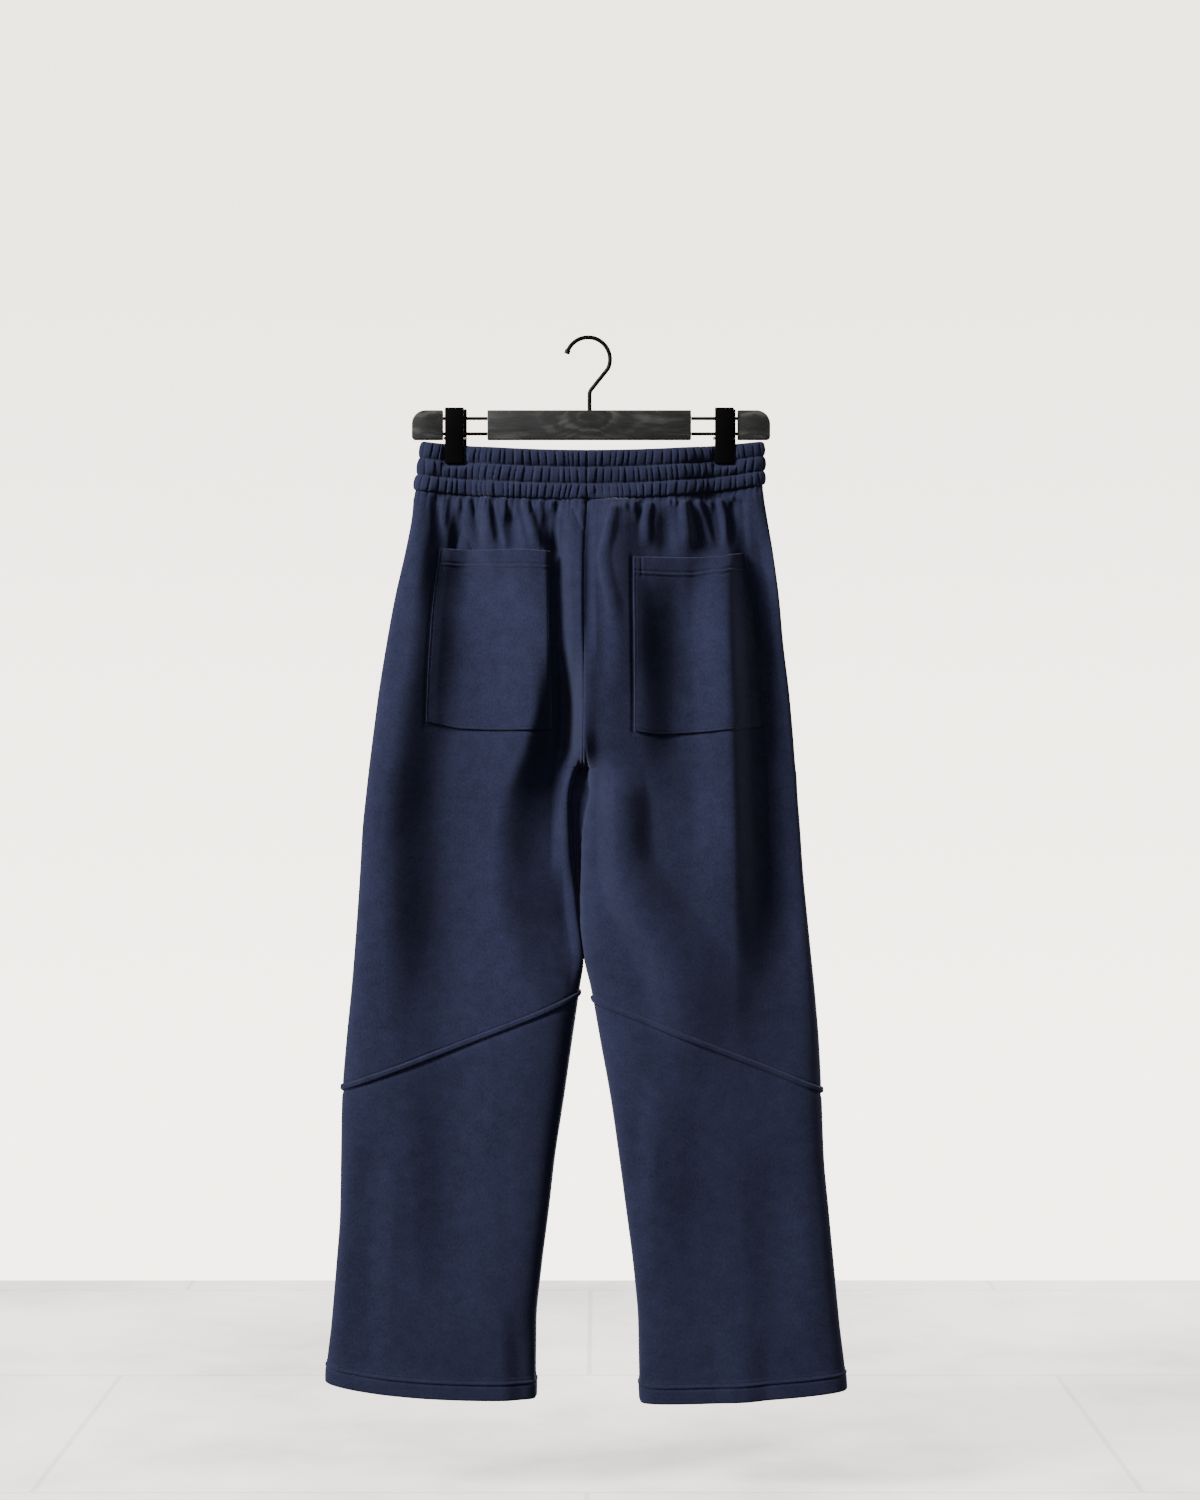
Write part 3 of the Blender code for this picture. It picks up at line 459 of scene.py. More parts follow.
def curve_through(knots, values, at):
    """Read a smooth curve through the values that never overshoots them."""
    knots = np.asarray(knots, float)
    values = np.asarray(values, float)
    steps = np.diff(knots)
    rises = np.diff(values) / steps
    product = rises[:-1] * rises[1:]
    total = np.where(product > 0.0, rises[:-1] + rises[1:], 1.0)
    inner = np.where(product > 0.0, 2.0 * product / total, 0.0)
    slopes = np.concatenate((rises[:1], inner, rises[-1:]))
    at = np.clip(at, knots[0], knots[-1])
    i = np.clip(np.searchsorted(knots, at, side="right") - 1, 0, len(steps) - 1)
    t = (at - knots[i]) / steps[i]
    lean_in = slopes[i] * steps[i]
    lean_out = slopes[i + 1] * steps[i]
    rise = values[i + 1] - values[i]
    return values[i] + t * (lean_in + t * (3 * rise - 2 * lean_in - lean_out
                                           + t * (lean_in + lean_out - 2 * rise)))


def table_value(table, column, drop):
    return curve_through([row.drop for row in table], [getattr(row, column) for row in table], drop)


def edges_at(side, drop):
    """The inner and the outer x of one half."""
    letter = side[0]
    return [table_value(SECTIONS, edge + letter, drop) for edge in ("inner_", "outer_")]


def round_edge(share, bluntness):
    return np.maximum(1.0 - np.abs(share) ** bluntness, 0.0) ** (1.0 / bluntness)


def leg_share(share, drop):
    """How far the seat has turned into a leg tube: 0 for the seat, 1 for the tube."""
    rise = np.clip((CROTCH_DROP - drop) / CROTCH_RISE, 0.0, 1.0)
    bend = 1.0 - np.sqrt(1.0 - (1.0 - rise) ** 2)
    return mix(ease(*HIP_TO_LEG, drop), bend, np.exp(-(share / INNER_REACH) ** 2))


def leg_fullness(side, face, share, drop, width, bluntness, outer_bluntness):
    """The round of a leg tube; the back's starts past the strip that lies in the hollow."""
    if face == "front":
        return round_edge(2.0 * share - 1.0, bluntness)
    strip = table_value(HOLLOWS, "strip_" + side[0], drop)
    past = 2.0 * np.clip((share * width - strip) / (width - strip), 0.0, 1.0) - 1.0
    flat = HOLLOW_SLOPE * np.clip(share * width / np.maximum(strip, 0.1), 0.0, 1.0)
    full = np.where(past > 0.0, round_edge(past, outer_bluntness), round_edge(past, bluntness))
    return np.maximum(full, flat * (strip > 0.1))


def pinch(x, side, drop):
    """1 where a clip presses the band flat, 0 away from it."""
    across = 1.0 - ease(GRIP_FLAT, GRIP_FADE, np.abs(x - CLIP_X[side]))
    return across * (1.0 - ease(*GRIP_DROPS, drop))


def bump(away):
    return (1.0 - np.minimum(np.abs(away), 1.0) ** 2) ** 2


def crease_height(creases, x, drop):
    """The height of all the given folds or creases together."""
    total = np.zeros_like(x)
    for crease in creases:
        drops = [point[1] for point in crease.path]
        path_x = curve_through(drops, [point[0] for point in crease.path], drop)
        width = curve_through(drops, [point[2] for point in crease.path], drop)
        flank = np.where(x < path_x, 1.0 + crease.lean, 1.0 - crease.lean)
        length = ease(drops[0], drops[0] + crease.grow, drop)
        length = length * (1.0 - ease(drops[-1] - crease.fade, drops[-1], drop))
        total += crease.height * bump((x - path_x) / (width * flank)) * length
    return total


def on_side(creases, side):
    return [crease for crease in creases if crease.side == side]


def front_gathers():
    """The front's gathers: the other half's, turned over, wider apart and a little longer."""
    turned = []
    for crease in GATHERS:
        other = "right" if crease.side == "left" else "left"
        path = tuple((FRONT_SHIFT[other] - FRONT_SPREAD * x,
                      drop * FRONT_DROP[0] + FRONT_DROP[1], width * FRONT_WIDTH)
                     for x, drop, width in crease.path)
        turned.append(Crease(other, path, -crease.lean, FRONT_HEIGHT * crease.height,
                             crease.grow, crease.fade * FRONT_WIDTH))
    return tuple(turned)


FRONT_GATHERS = front_gathers()


def soft_dents(side, face, x, drop):
    """Shallow dents and swellings, none of them alike."""
    chance = np.random.default_rng({"left": 11, "right": 23}[side] + (5 if face == "front" else 0))
    outward = -1.0 if side == "left" else 1.0
    total = np.zeros_like(x)
    for _ in range(DENTS):
        middle_x = outward * chance.uniform(*DENT_X)
        middle_drop = chance.uniform(*DENT_DROPS)
        size = chance.uniform(*DENT_SIZES)
        height = chance.uniform(-DENT_HEIGHT, DENT_HEIGHT)
        slant = chance.uniform(-DENT_SLANT, DENT_SLANT)
        across = (x - middle_x + slant * (drop - middle_drop)) / size
        along = (drop - middle_drop) / (DENT_STRETCH * size)
        total += height * np.exp(-across ** 2 - along ** 2)
    return total * ease(*DENT_FADE, drop)


def pocket_cover(side, share, drop):
    """1 under a pocket, 0 beside and above it."""
    sides = POCKET_SIDES[side]
    outside, inside = COVER_SHARES
    across = ease(sides.inner_mouth - outside, sides.inner_mouth + inside, share)
    across = across * (1.0 - ease(sides.outer_mouth - inside, sides.outer_mouth + outside, share))
    mouth = POCKET_MOUTH[side][1][1]
    return across * ease(mouth - COVER_DROPS[0], mouth + COVER_DROPS[1], drop)


def pocket_groove(side, share, drop):
    """The line sunk into the panel where the pocket's edge is sewn down."""
    sides = POCKET_SIDES[side]
    inner_x, outer_x = edges_at(side, drop)
    width = np.abs(outer_x - inner_x)
    middle = (share - sides.inner_mouth) / (sides.outer_mouth - sides.inner_mouth)
    mouth = np.interp(middle, *zip(*POCKET_MOUTH[side]))
    foot = curve_through(*zip(*POCKET_FOOT[side]), np.clip(middle, 0.0, 1.0))
    along = (drop - mouth) / (foot - mouth)
    inner = (mix(sides.inner_mouth, sides.inner_foot, along) - share) * width
    outer = (share - mix(sides.outer_mouth, sides.outer_foot, along)) * width
    beyond = np.maximum(np.maximum(inner, outer), drop - foot)
    sunk = groove(beyond - POCKET_GROOVE_AWAY, POCKET_GROOVE, POCKET_GROOVE_HALF_WIDTH)
    sunk = sunk * mix(1.0, OUTER_EDGE_GROOVE, ease(*OUTER_EDGE_SHARES, middle))
    return sunk * ease(*MOUTH_SHARES, along)


def cloth_points(side, face, share, drop, gathered=True):
    """Points of the outer face, share 0 at the centre or inseam and 1 at the side seam."""
    inner, outer = edges_at(side, drop)
    x = mix(inner, outer, share)
    bluntness = mix(WAIST_BLUNTNESS, LEG_BLUNTNESS, ease(*BLUNTNESS_DROPS, drop))
    bluntness = mix(bluntness, HEM_BLUNTNESS, ease(*HEM_BLUNTNESS_DROPS, drop))
    outer_bluntness = mix(WAIST_BLUNTNESS, OUTER_BLUNTNESS[side], ease(*BLUNTNESS_DROPS, drop))
    seat = round_edge(share, outer_bluntness if face == "back" else bluntness)
    outer_bluntness = mix(outer_bluntness, HEM_BLUNTNESS, ease(*HEM_BLUNTNESS_DROPS, drop))
    leg = leg_fullness(side, face, share, drop, np.abs(outer - inner), bluntness, outer_bluntness)
    fullness = mix(seat, leg, leg_share(share, drop))
    depth = table_value(SECTIONS, face, drop) * fullness
    depth = mix(depth, GRIP_DEPTH, pinch(x, side, drop))
    folds = [fold for fold in FOLDS if (fold.side, fold.face) == (side, face)]
    relief = crease_height(folds, x, drop) + soft_dents(side, face, x, drop)
    if face == "back":
        relief += crease_height(on_side(BACK_FORMS, side), x, drop)
        if gathered:
            fine = crease_height(on_side(GATHERS, side), x, drop) * GATHER_STRENGTH
            relief += fine * (1.0 - pocket_cover(side, share, drop))
    elif gathered:
        relief += crease_height(on_side(FRONT_GATHERS, side), x, drop) * GATHER_STRENGTH
    depth = depth + relief * np.minimum(FOLD_FADE * fullness, 1.0)
    return np.stack((x, -depth if face == "back" else depth, -drop), axis=-1)


def line_drop(line, side, share):
    letter = side[0]
    inner = getattr(line, "inner_" + letter)
    outer = getattr(line, "side_" + letter)
    return mix(inner, outer, share ** getattr(line, "bend_" + letter))


def row_levels():
    """Every row of a half as (line, next line, way between them), with the named lines' rows."""
    levels = []
    named = {}
    for here, after in zip(LINES, LINES[1:]):
        named[here.name] = len(levels)
        for step in range(here.steps):
            way = step / here.steps
            if here.spread == "arc":
                way = math.sin(way * math.pi / 2)
            elif here.spread == "slow":
                way = way ** SLOW_START
            levels.append((here, after, way))
    named[LINES[-1].name] = len(levels)
    levels.append((LINES[-2], LINES[-1], 1.0))
    return levels, named


def level_drops(levels, side, shares):
    return np.stack([mix(line_drop(here, side, shares), line_drop(after, side, shares), way)
                     for here, after, way in levels])


def lengths_along(points, axis):
    """How far each point lies along its row or column of points."""
    steps = np.linalg.norm(np.diff(points, axis=axis), axis=-1)
    start = np.zeros_like(np.take(steps, [0], axis=axis))
    return np.concatenate((start, np.cumsum(steps, axis=axis)), axis=axis)


def even_shares(side, face, count):
    """Shares of the width whose points lie about evenly round the seat and round the leg."""
    fine = np.linspace(0.0, 1.0, FINE_POINTS)
    run = np.zeros_like(fine)
    for drop in EVEN_DROPS:
        points = cloth_points(side, face, fine, np.full_like(fine, drop), gathered=False)
        length = lengths_along(points, 0)
        run += length / length[-1]
    return np.interp(np.linspace(0.0, 2.0, count), run, fine)


def unit(vectors):
    return vectors / np.maximum(np.linalg.norm(vectors, axis=-1, keepdims=True), 1e-9)


def surface_normals(points, outward, wraps=None):
    """Outward directions of a grid; rows in wraps are closed, the others are level at x = 0."""
    before = np.concatenate((points[:, :1], points[:, :-1]), axis=1)
    beyond = np.concatenate((points[:, 1:], points[:, -1:]), axis=1)
    if wraps is not None:
        before[wraps, 0] = points[wraps, -2]
        beyond[wraps, -1] = points[wraps, 1]
    above = np.concatenate((points[:1], points[:-1]), axis=0)
    below = np.concatenate((points[1:], points[-1:]), axis=0)
    normals = np.cross(beyond - before, below - above) * outward
    if wraps is not None:
        normals[:wraps.start, 0, 0] = 0.0
        normals[:wraps.start, -1, 0] = 0.0
    return unit(normals)


def edge_roll(distance, width=SEAM_ROLL_WIDTH, depth=SEAM_ROLL):
    """How far an edge turns in, from its distance to the seam."""
    near = np.clip(1.0 - distance / width, 0.0, 1.0)
    return -depth * (1.0 - np.sqrt(1.0 - near ** 2))


def groove(distance, depth=GROOVE_DEPTH, half_width=GROOVE_HALF_WIDTH):
    return -depth * bump(distance / half_width)


def knee_relief(above_seam):
    """The raised seam allowance over the knee seam, and the tuck below it."""
    outside, inside = KNEE_RIDGE_EDGE
    ridge = KNEE_RIDGE * ease(KNEE_RIDGE_WIDTH + outside, KNEE_RIDGE_WIDTH - inside, above_seam)
    ridge = ridge + edge_roll(above_seam, *KNEE_ROLL)
    ridge = ridge + groove(above_seam - KNEE_STITCH, *KNEE_GROOVE)
    tuck = -KNEE_TUCK * (1.0 - ease(0.0, KNEE_TUCK_ZONE, -above_seam))
    return np.where(above_seam >= 0.0, ridge, tuck)


def hem_relief(above_hem):
    """The doubled hem: two sunk rows with a puffed strip between them, and a soft edge."""
    first, second = HEM_ROWS
    doubled = HEM_SWELL * (1.0 - ease(second, second + HEM_FADE, above_hem))
    rows = groove(above_hem - first) + groove(above_hem - second)
    strip = HEM_STRIP[0] * bump((above_hem - (first + second) / 2) / HEM_STRIP[1])
    return doubled + rows + strip + edge_roll(above_hem, *HEM_ROLL)


def run_along(side, face, share):
    """Length round the waist from the centre to a share of a half's width."""
    fine = np.linspace(0.0, 1.0, RUN_POINTS)
    points = cloth_points(side, face, fine, np.full_like(fine, BAND_RUN_DROP), gathered=False)
    return np.interp(share, fine, lengths_along(points, 0))


def rib_marks(side, face, channel):
    """Where the ribs of one channel begin and how high each is, uneven as elastic draws them."""
    seed = 100 * channel + {"left": 0, "right": 10}[side] + {"back": 0, "front": 1}[face]
    chance = np.random.default_rng(seed)
    marks = [0.0]
    while marks[-1] < LONGEST_RUN:
        marks.append(marks[-1] + chance.uniform(*RIB_WIDTHS))
    heights = chance.uniform(*RIB_HEIGHTS, len(marks))
    return np.array(marks), heights


def rib_height(side, face, channel, run):
    marks, heights = rib_marks(side, face, channel)
    i = np.clip(np.searchsorted(marks, run, side="right") - 1, 0, len(marks) - 2)
    t = (run - marks[i]) / (marks[i + 1] - marks[i])
    return heights[i] * (1.0 - np.abs(2.0 * t - 1.0) ** RIB_ROUNDNESS)


class HalfCloth:
    """One half's cloth as a grid: from the centre back round the side to the centre front."""

    def __init__(self, side):
        self.side = side
        self.levels, self.named = row_levels()
        self.back = even_shares(side, "back", BACK_COLUMNS)
        self.front = even_shares(side, "front", FRONT_COLUMNS)
        self.side_column = BACK_COLUMNS - 1
        self.last_column = self.side_column + FRONT_COLUMNS - 1
        self.crotch = self.named["crotch"]
        outward = -1.0 if side == "left" else 1.0
        closed = slice(self.crotch, None)
        base = self.both_faces(lambda face, share, drop: cloth_points(side, face, share, drop))
        normals = surface_normals(base, -outward, closed)
        self.points = base + normals * self.fine_relief(base)[..., None]
        self.normals = surface_normals(self.points, -outward, closed)

    def both_faces(self, make):
        """Back columns, then the front's from the side seam inwards."""
        parts = []
        for face, shares in (("back", self.back), ("front", self.front)):
            drop = level_drops(self.levels, self.side, shares)
            share = np.broadcast_to(shares, drop.shape)
            parts.append(make(face, share, drop))
        return np.concatenate((parts[0], parts[1][:, ::-1][:, 1:]), axis=1)

    def heights_over(self, name, shares):
        """How far each row lies above a named line, in drop."""
        line = next(line for line in LINES if line.name == name)
        return line_drop(line, self.side, shares) - level_drops(self.levels, self.side, shares)

    def fine_relief(self, base):
        run = lengths_along(base, 1)
        side_run = run[:, self.side_column][:, None]
        to_side = np.abs(run - side_run)
        to_inner = np.minimum(run, run[:, -1:] - run)
        above_crotch = (np.arange(len(base)) < self.crotch)[:, None]
        relief = edge_roll(to_side) + edge_roll(to_inner) * above_crotch

        def details(face, share, drop):
            shares = share[0]
            total = hem_relief(self.heights_over("hem", shares))
            below_waist = -self.heights_over("waist seam", shares)
            lowest = rib_height(self.side, face, CHANNELS - 1, run_along(self.side, face, share))
            pucker = PUCKER_HEIGHT / RIB_HEIGHTS[1] * np.exp(-below_waist / PUCKER_LENGTH)
            total = total + lowest * pucker
            total = total + edge_roll(below_waist, *WAIST_ROLL)
            total = total - WAIST_RECESS[1] * (1.0 - ease(0.0, WAIST_RECESS[0], below_waist))
            if face == "back":
                total = total + pocket_groove(self.side, share, drop)
                knee = self.heights_over("knee seam", shares) * KNEE_SLANT
                total = total + np.where(np.abs(knee) < KNEE_REACH, knee_relief(knee), 0.0)
            return total

        return relief + self.both_faces(details)

    def panel(self, first_row, last_row, face):
        """A panel's outer points and normals; its waist edge goes up under the band."""
        columns = slice(0, self.side_column + 1)
        if face == "front":
            columns = slice(self.side_column, self.last_column + 1)
        rows = slice(self.named[first_row], self.named[last_row] + 1)
        outside = self.points[rows, columns].copy()
        if first_row == "waist seam":
            outside[0] += self.normals[0, columns] * -WAIST_TUCK[0]
            outside[0, :, 2] += WAIST_TUCK[1]
        return outside, self.normals[rows, columns]

    def row_path(self, name, above, face):
        """Points on the cloth at a height above a named line, from one seam to the other."""
        columns = slice(1, self.side_column)
        shares = self.back
        if face == "front":
            columns = slice(self.side_column + 1, self.last_column)
            shares = self.front[::-1]
        height = self.heights_over(name, shares)
        inside = slice(1, -1)
        points = (self.points + self.normals * STITCH_LIFT)[:, columns]
        path = []
        for i, heights in enumerate(height[:, inside].T):
            k = np.searchsorted(-heights, -above)
            way = (heights[k - 1] - above) / (heights[k - 1] - heights[k])
            path.append(mix(points[k - 1, i], points[k, i], way))
        return np.array(path)


def picks(count):
    """Every second index, with the first and the last."""
    even = np.linspace(0, count - 1, (count - 1) // INSIDE_STEP + 1)
    return np.unique(np.round(even).astype(int))


def rim_faces(outer_rim, inner_rim, rim_picks):
    """Faces that join an outer rim to a coarser inner one."""
    faces = []
    for j in range(len(rim_picks) - 1):
        outer = outer_rim[rim_picks[j]:rim_picks[j + 1] + 1]
        faces.append(list(outer) + [inner_rim[j + 1], inner_rim[j]])
    return faces


def grid_faces(index, turned):
    quads = np.stack((index[:-1, :-1], index[1:, :-1], index[1:, 1:], index[:-1, 1:]), axis=-1)
    quads = quads.reshape(-1, 4)
    return (quads[:, ::-1] if turned else quads).tolist()


def placed(name, data):
    """A new object, in the scene."""
    item = bpy.data.objects.new(name, data)
    bpy.context.collection.objects.link(item)
    return item


def cloth_shell(name, outside, normals, material, wall, ring=False):
    """A closed body between the outer points and an inner wall with every second row."""
    rows, columns = outside.shape[:2]
    row_picks = picks(rows)
    inside_full = outside - normals * np.broadcast_to(wall, outside.shape[:2])[..., None]
    if ring:
        outside = np.concatenate((outside, outside[:, :1]), axis=1)
        inside_full = np.concatenate((inside_full, inside_full[:, :1]), axis=1)
        columns += 1
    column_picks = picks(columns)
    inside = inside_full[np.ix_(row_picks, column_picks)]
    run = np.stack((lengths_along(outside, 1), lengths_along(outside, 0)), axis=-1)
    outer = np.arange(rows * columns).reshape(rows, columns)
    inner = rows * columns + np.arange(inside.shape[0] * inside.shape[1]).reshape(inside.shape[:2])
    faces = grid_faces(outer, False) + grid_faces(inner, True)
    faces += rim_faces(outer[0], inner[0], column_picks)
    faces += rim_faces(outer[-1], inner[-1], column_picks)
    if not ring:
        faces += rim_faces(outer[:, 0], inner[:, 0], row_picks)
        faces += rim_faces(outer[:, -1], inner[:, -1], row_picks)
    points = np.concatenate((outside.reshape(-1, 3), inside.reshape(-1, 3))) * MM
    inner_run = run[np.ix_(row_picks, column_picks)]
    layout = np.concatenate((run.reshape(-1, 2), inner_run.reshape(-1, 2)))
    return mesh_piece(name, points, faces, material, layout * MM, weld=ring)


def mesh_piece(name, points, faces, material, layout, weld=False):
    mesh = bpy.data.meshes.new(name)
    mesh.from_pydata(points.tolist(), [], faces)
    corners = np.zeros(len(mesh.loops), int)
    mesh.loops.foreach_get("vertex_index", corners)
    unwrapped = mesh.uv_layers.new(name="cloth")
    unwrapped.data.foreach_set("uv", layout[corners].astype(np.float32).ravel())
    mesh_data = bmesh.new()
    mesh_data.from_mesh(mesh)
    if weld:
        bmesh.ops.remove_doubles(mesh_data, verts=mesh_data.verts[:], dist=1e-7)
    bmesh.ops.recalc_face_normals(mesh_data, faces=mesh_data.faces[:])
    mesh_data.to_mesh(mesh)
    mesh_data.free()
    mesh.materials.append(material)
    mesh.shade_smooth()
    return placed(name, mesh)


def make_panels(half, fleece):
    """The two back panels and the front panel of one half."""
    side = half.side
    panels = {}
    for name, face, first_row, last_row in (
            ("back_upper_", "back", "waist seam", "knee seam"),
            ("back_lower_", "back", "knee seam", "hem"),
            ("front_", "front", "waist seam", "hem")):
        outside, normals = half.panel(first_row, last_row, face)
        panels[name + side] = cloth_shell("cloth_" + name + side, outside, normals, fleece, WALL)
    return panels


class PocketCloth:
    """A patch pocket that lies on the panel's own form, bridging the gathers."""

    def __init__(self, side):
        self.side = side
        columns, rows = POCKET_GRID
        across = self.spaced(columns)
        along = self.spaced(rows)
        sides = POCKET_SIDES[side]
        mouth = np.interp(across, *zip(*POCKET_MOUTH[side]))
        foot = curve_through(*zip(*POCKET_FOOT[side]), across)
        drop = mix(mouth[None, :], foot[None, :], along[:, None])
        inner = mix(sides.inner_mouth, sides.inner_foot, along)[:, None]
        outer = mix(sides.outer_mouth, sides.outer_foot, along)[:, None]
        share = mix(inner, outer, across[None, :])
        base = cloth_points(side, "back", share, drop, gathered=False)
        outward = 1.0 if side == "left" else -1.0
        normals = surface_normals(base, outward)
        self.below_mouth = lengths_along(base, 0)
        self.over_foot = self.below_mouth[-1:] - self.below_mouth
        self.from_inner = lengths_along(base, 1)
        self.from_outer = self.from_inner[:, -1:] - self.from_inner
        lift = self.lift(across)
        self.points = base + normals * (lift + LAY_GAP + WALL)[..., None]
        self.normals = surface_normals(self.points, outward)
        self.base = base
        self.base_normals = normals

    @staticmethod
    def spaced(count):
        """Even steps that draw closer at both ends."""
        even = np.linspace(0.0, 1.0, count)
        return mix(even, 0.5 - 0.5 * np.cos(np.pi * even), EDGE_CROWDING)

    def lift(self, across):
        sewn = np.minimum(np.minimum(self.from_inner, self.from_outer), self.over_foot)
        reach, sink = OUTER_EDGE_SINK
        flat = 1.0 - ease(0.0, reach, self.from_outer)
        relief = edge_roll(sewn, *POCKET_ROLL) * (1.0 - OUTER_EDGE_ROLL * flat) - sink * flat
        relief = relief + edge_roll(self.below_mouth, *MOUTH_ROLL) * (1.0 - flat)
        relief = relief + groove(sewn - POCKET_EDGE_STITCH, *EDGE_GROOVE)
        first, second = POCKET_ROWS
        swell, fade = MOUTH_SWELL
        doubled = swell * (1.0 - ease(second, second + fade, self.below_mouth))
        rows = groove(self.below_mouth - first, *MOUTH_GROOVES[0])
        rows = rows + groove(self.below_mouth - second, *MOUTH_GROOVES[1])
        height, half_width = MOUTH_STRIP
        rows = rows + height * bump((self.below_mouth - (first + second) / 2) / half_width)
        open_mouth = POCKET_MOUTH_LIFT * (1.0 - ease(0.0, POCKET_MOUTH_FADE, self.below_mouth))
        open_mouth = open_mouth * np.sin(np.pi * across)[None, :] ** MOUTH_ROUNDNESS
        free = ease(0.0, FREE_REACH, sewn)
        return relief + (doubled + rows) * np.maximum(free, SEWN_DETAIL) + open_mouth * free

    def shell(self, fleece):
        sunk = np.maximum((self.points - self.base - self.base_normals * LAY_GAP)
                          * self.base_normals, 0.0)
        wall = np.clip(np.linalg.norm(sunk, axis=-1), THINNEST_WALL, WALL)
        return cloth_shell("cloth_pocket_" + self.side, self.points, self.normals, fleece, wall)

    def paths(self):
        """The two mouth rows and the edge stitch round the other sides, short of the corners."""
        found = []
        raised = self.points + self.normals * STITCH_LIFT
        for below in POCKET_ROWS:
            found.append(self.along_rows(raised, below, self.below_mouth.T)[3:-3])
        inset = POCKET_EDGE_STITCH
        turned = raised.transpose(1, 0, 2)
        left = self.along_rows(turned, inset, self.from_inner)
        right = self.along_rows(turned, -inset, -self.from_outer)
        foot = self.along_rows(raised, -inset, -self.over_foot.T)
        found.append(np.concatenate((left[1:-4], foot[3:-3], right[1:-4][::-1])))
        return found

    @staticmethod
    def along_rows(points, at, lengths):
        """The points where each column's length comes to a given one."""
        rows = [np.interp(at, column, np.arange(len(column))) for column in lengths]
        low = np.floor(rows).astype(int)
        high = np.minimum(low + 1, points.shape[0] - 1)
        way = (np.array(rows) - low)[:, None]
        columns = np.arange(points.shape[1])
        return mix(points[low, columns], points[high, columns], way)


class BandCloth:
    """The waistband ring with three puffed channels and the ribs that the elastic draws."""
    ROWS_IN_CHANNEL = 15
    COLUMNS_IN_QUARTER = 270

    def __init__(self):
        ways = np.linspace(0.0, 1.0, CHANNELS * self.ROWS_IN_CHANNEL + 1)
        parts = []
        swells = []
        for side, face, turned in (("left", "back", False), ("left", "front", True),
                                   ("right", "front", False), ("right", "back", True)):
            fine = np.linspace(0.0, 1.0, FINE_POINTS)
            run = run_along(side, face, fine)
            shares = np.interp(np.linspace(0.0, run[-1], self.COLUMNS_IN_QUARTER), run, fine)
            points, swell = self.quarter(side, face, shares, ways)
            if turned:
                points, swell = points[:, ::-1], swell[:, ::-1]
            parts.append(points[:, :-1])
            swells.append(swell[:, :-1])
        base = np.concatenate(parts, axis=1)
        swell = np.concatenate(swells, axis=1)
        normals = self.ring_normals(base)
        self.points = base + normals * swell[..., None]
        self.normals = self.ring_normals(self.points)

    def quarter(self, side, face, shares, ways):
        top = mix(BAND_TOP_CENTRE, BAND_TOP_SIDE, shares ** 2)
        foot = line_drop(LINES[0], side, shares)
        drop = mix(top[None, :], foot[None, :], ways[:, None])
        share = np.broadcast_to(shares, drop.shape)
        points = cloth_points(side, face, share, drop, gathered=False)
        beside_clip = np.abs(points[..., 0] - CLIP_X[side]) - JAW_WIDTH / 2
        gripped = 1.0 - ease(*GRIPPED_BESIDE, beside_clip)
        gripped = gripped * (1.0 - ease(JAW_FOOT, JAW_FOOT + GRIPPED_BELOW, drop))
        run = run_along(side, face, shares)[None, :]
        swell = np.zeros_like(drop)
        for channel in range(CHANNELS):
            way = ways[:, None] * CHANNELS - channel
            here = (way >= 0.0) & (way <= 1.0 if channel == CHANNELS - 1 else way < 1.0)
            slant = RIB_WAVER[1] * np.sin(run / RIB_WAVER[0] + RIB_TURN * channel) * (way - 0.5)
            ribs = rib_height(side, face, channel, np.maximum(run + slant, 0.0))
            arch = np.sin(np.clip(way, 0.0, 1.0) * np.pi)
            puffed = CHANNEL_BULGE * arch ** CHANNEL_ROUNDNESS
            puffed = puffed + ribs * mix(RIB_AT_STITCH, 1.0, arch ** 0.5)
            swell += np.where(here, puffed, 0.0)
        height = (foot - top)[None, :]
        rims = edge_roll(ways[:, None] * height, *BAND_RIM)
        rims = rims + edge_roll((1.0 - ways[:, None]) * height, *BAND_FOOT)
        swell *= mix(1.0, SIDE_FLATNESS, ease(*SIDE_SHARES, share))
        seam = groove(run, *BAND_SEAM)
        return points, swell * mix(1.0, GRIPPED_SWELL, gripped) + rims + seam

    @staticmethod
    def ring_normals(points):
        before = np.roll(points, 1, axis=1)
        beyond = np.roll(points, -1, axis=1)
        above = np.concatenate((points[:1], points[:-1]), axis=0)
        below = np.concatenate((points[1:], points[-1:]), axis=0)
        normals = np.cross(beyond - before, below - above)
        normals[0, :, 2] = 0.0
        normals[-1, :, 2] = 0.0
        return unit(normals)

    def paths(self):
        """The two stitch rows between the channels."""
        raised = self.points + self.normals * BAND_STITCH_LIFT
        rows = [self.ROWS_IN_CHANNEL * k for k in range(1, CHANNELS)]
        return [np.concatenate((raised[row], raised[row, :1])) for row in rows]


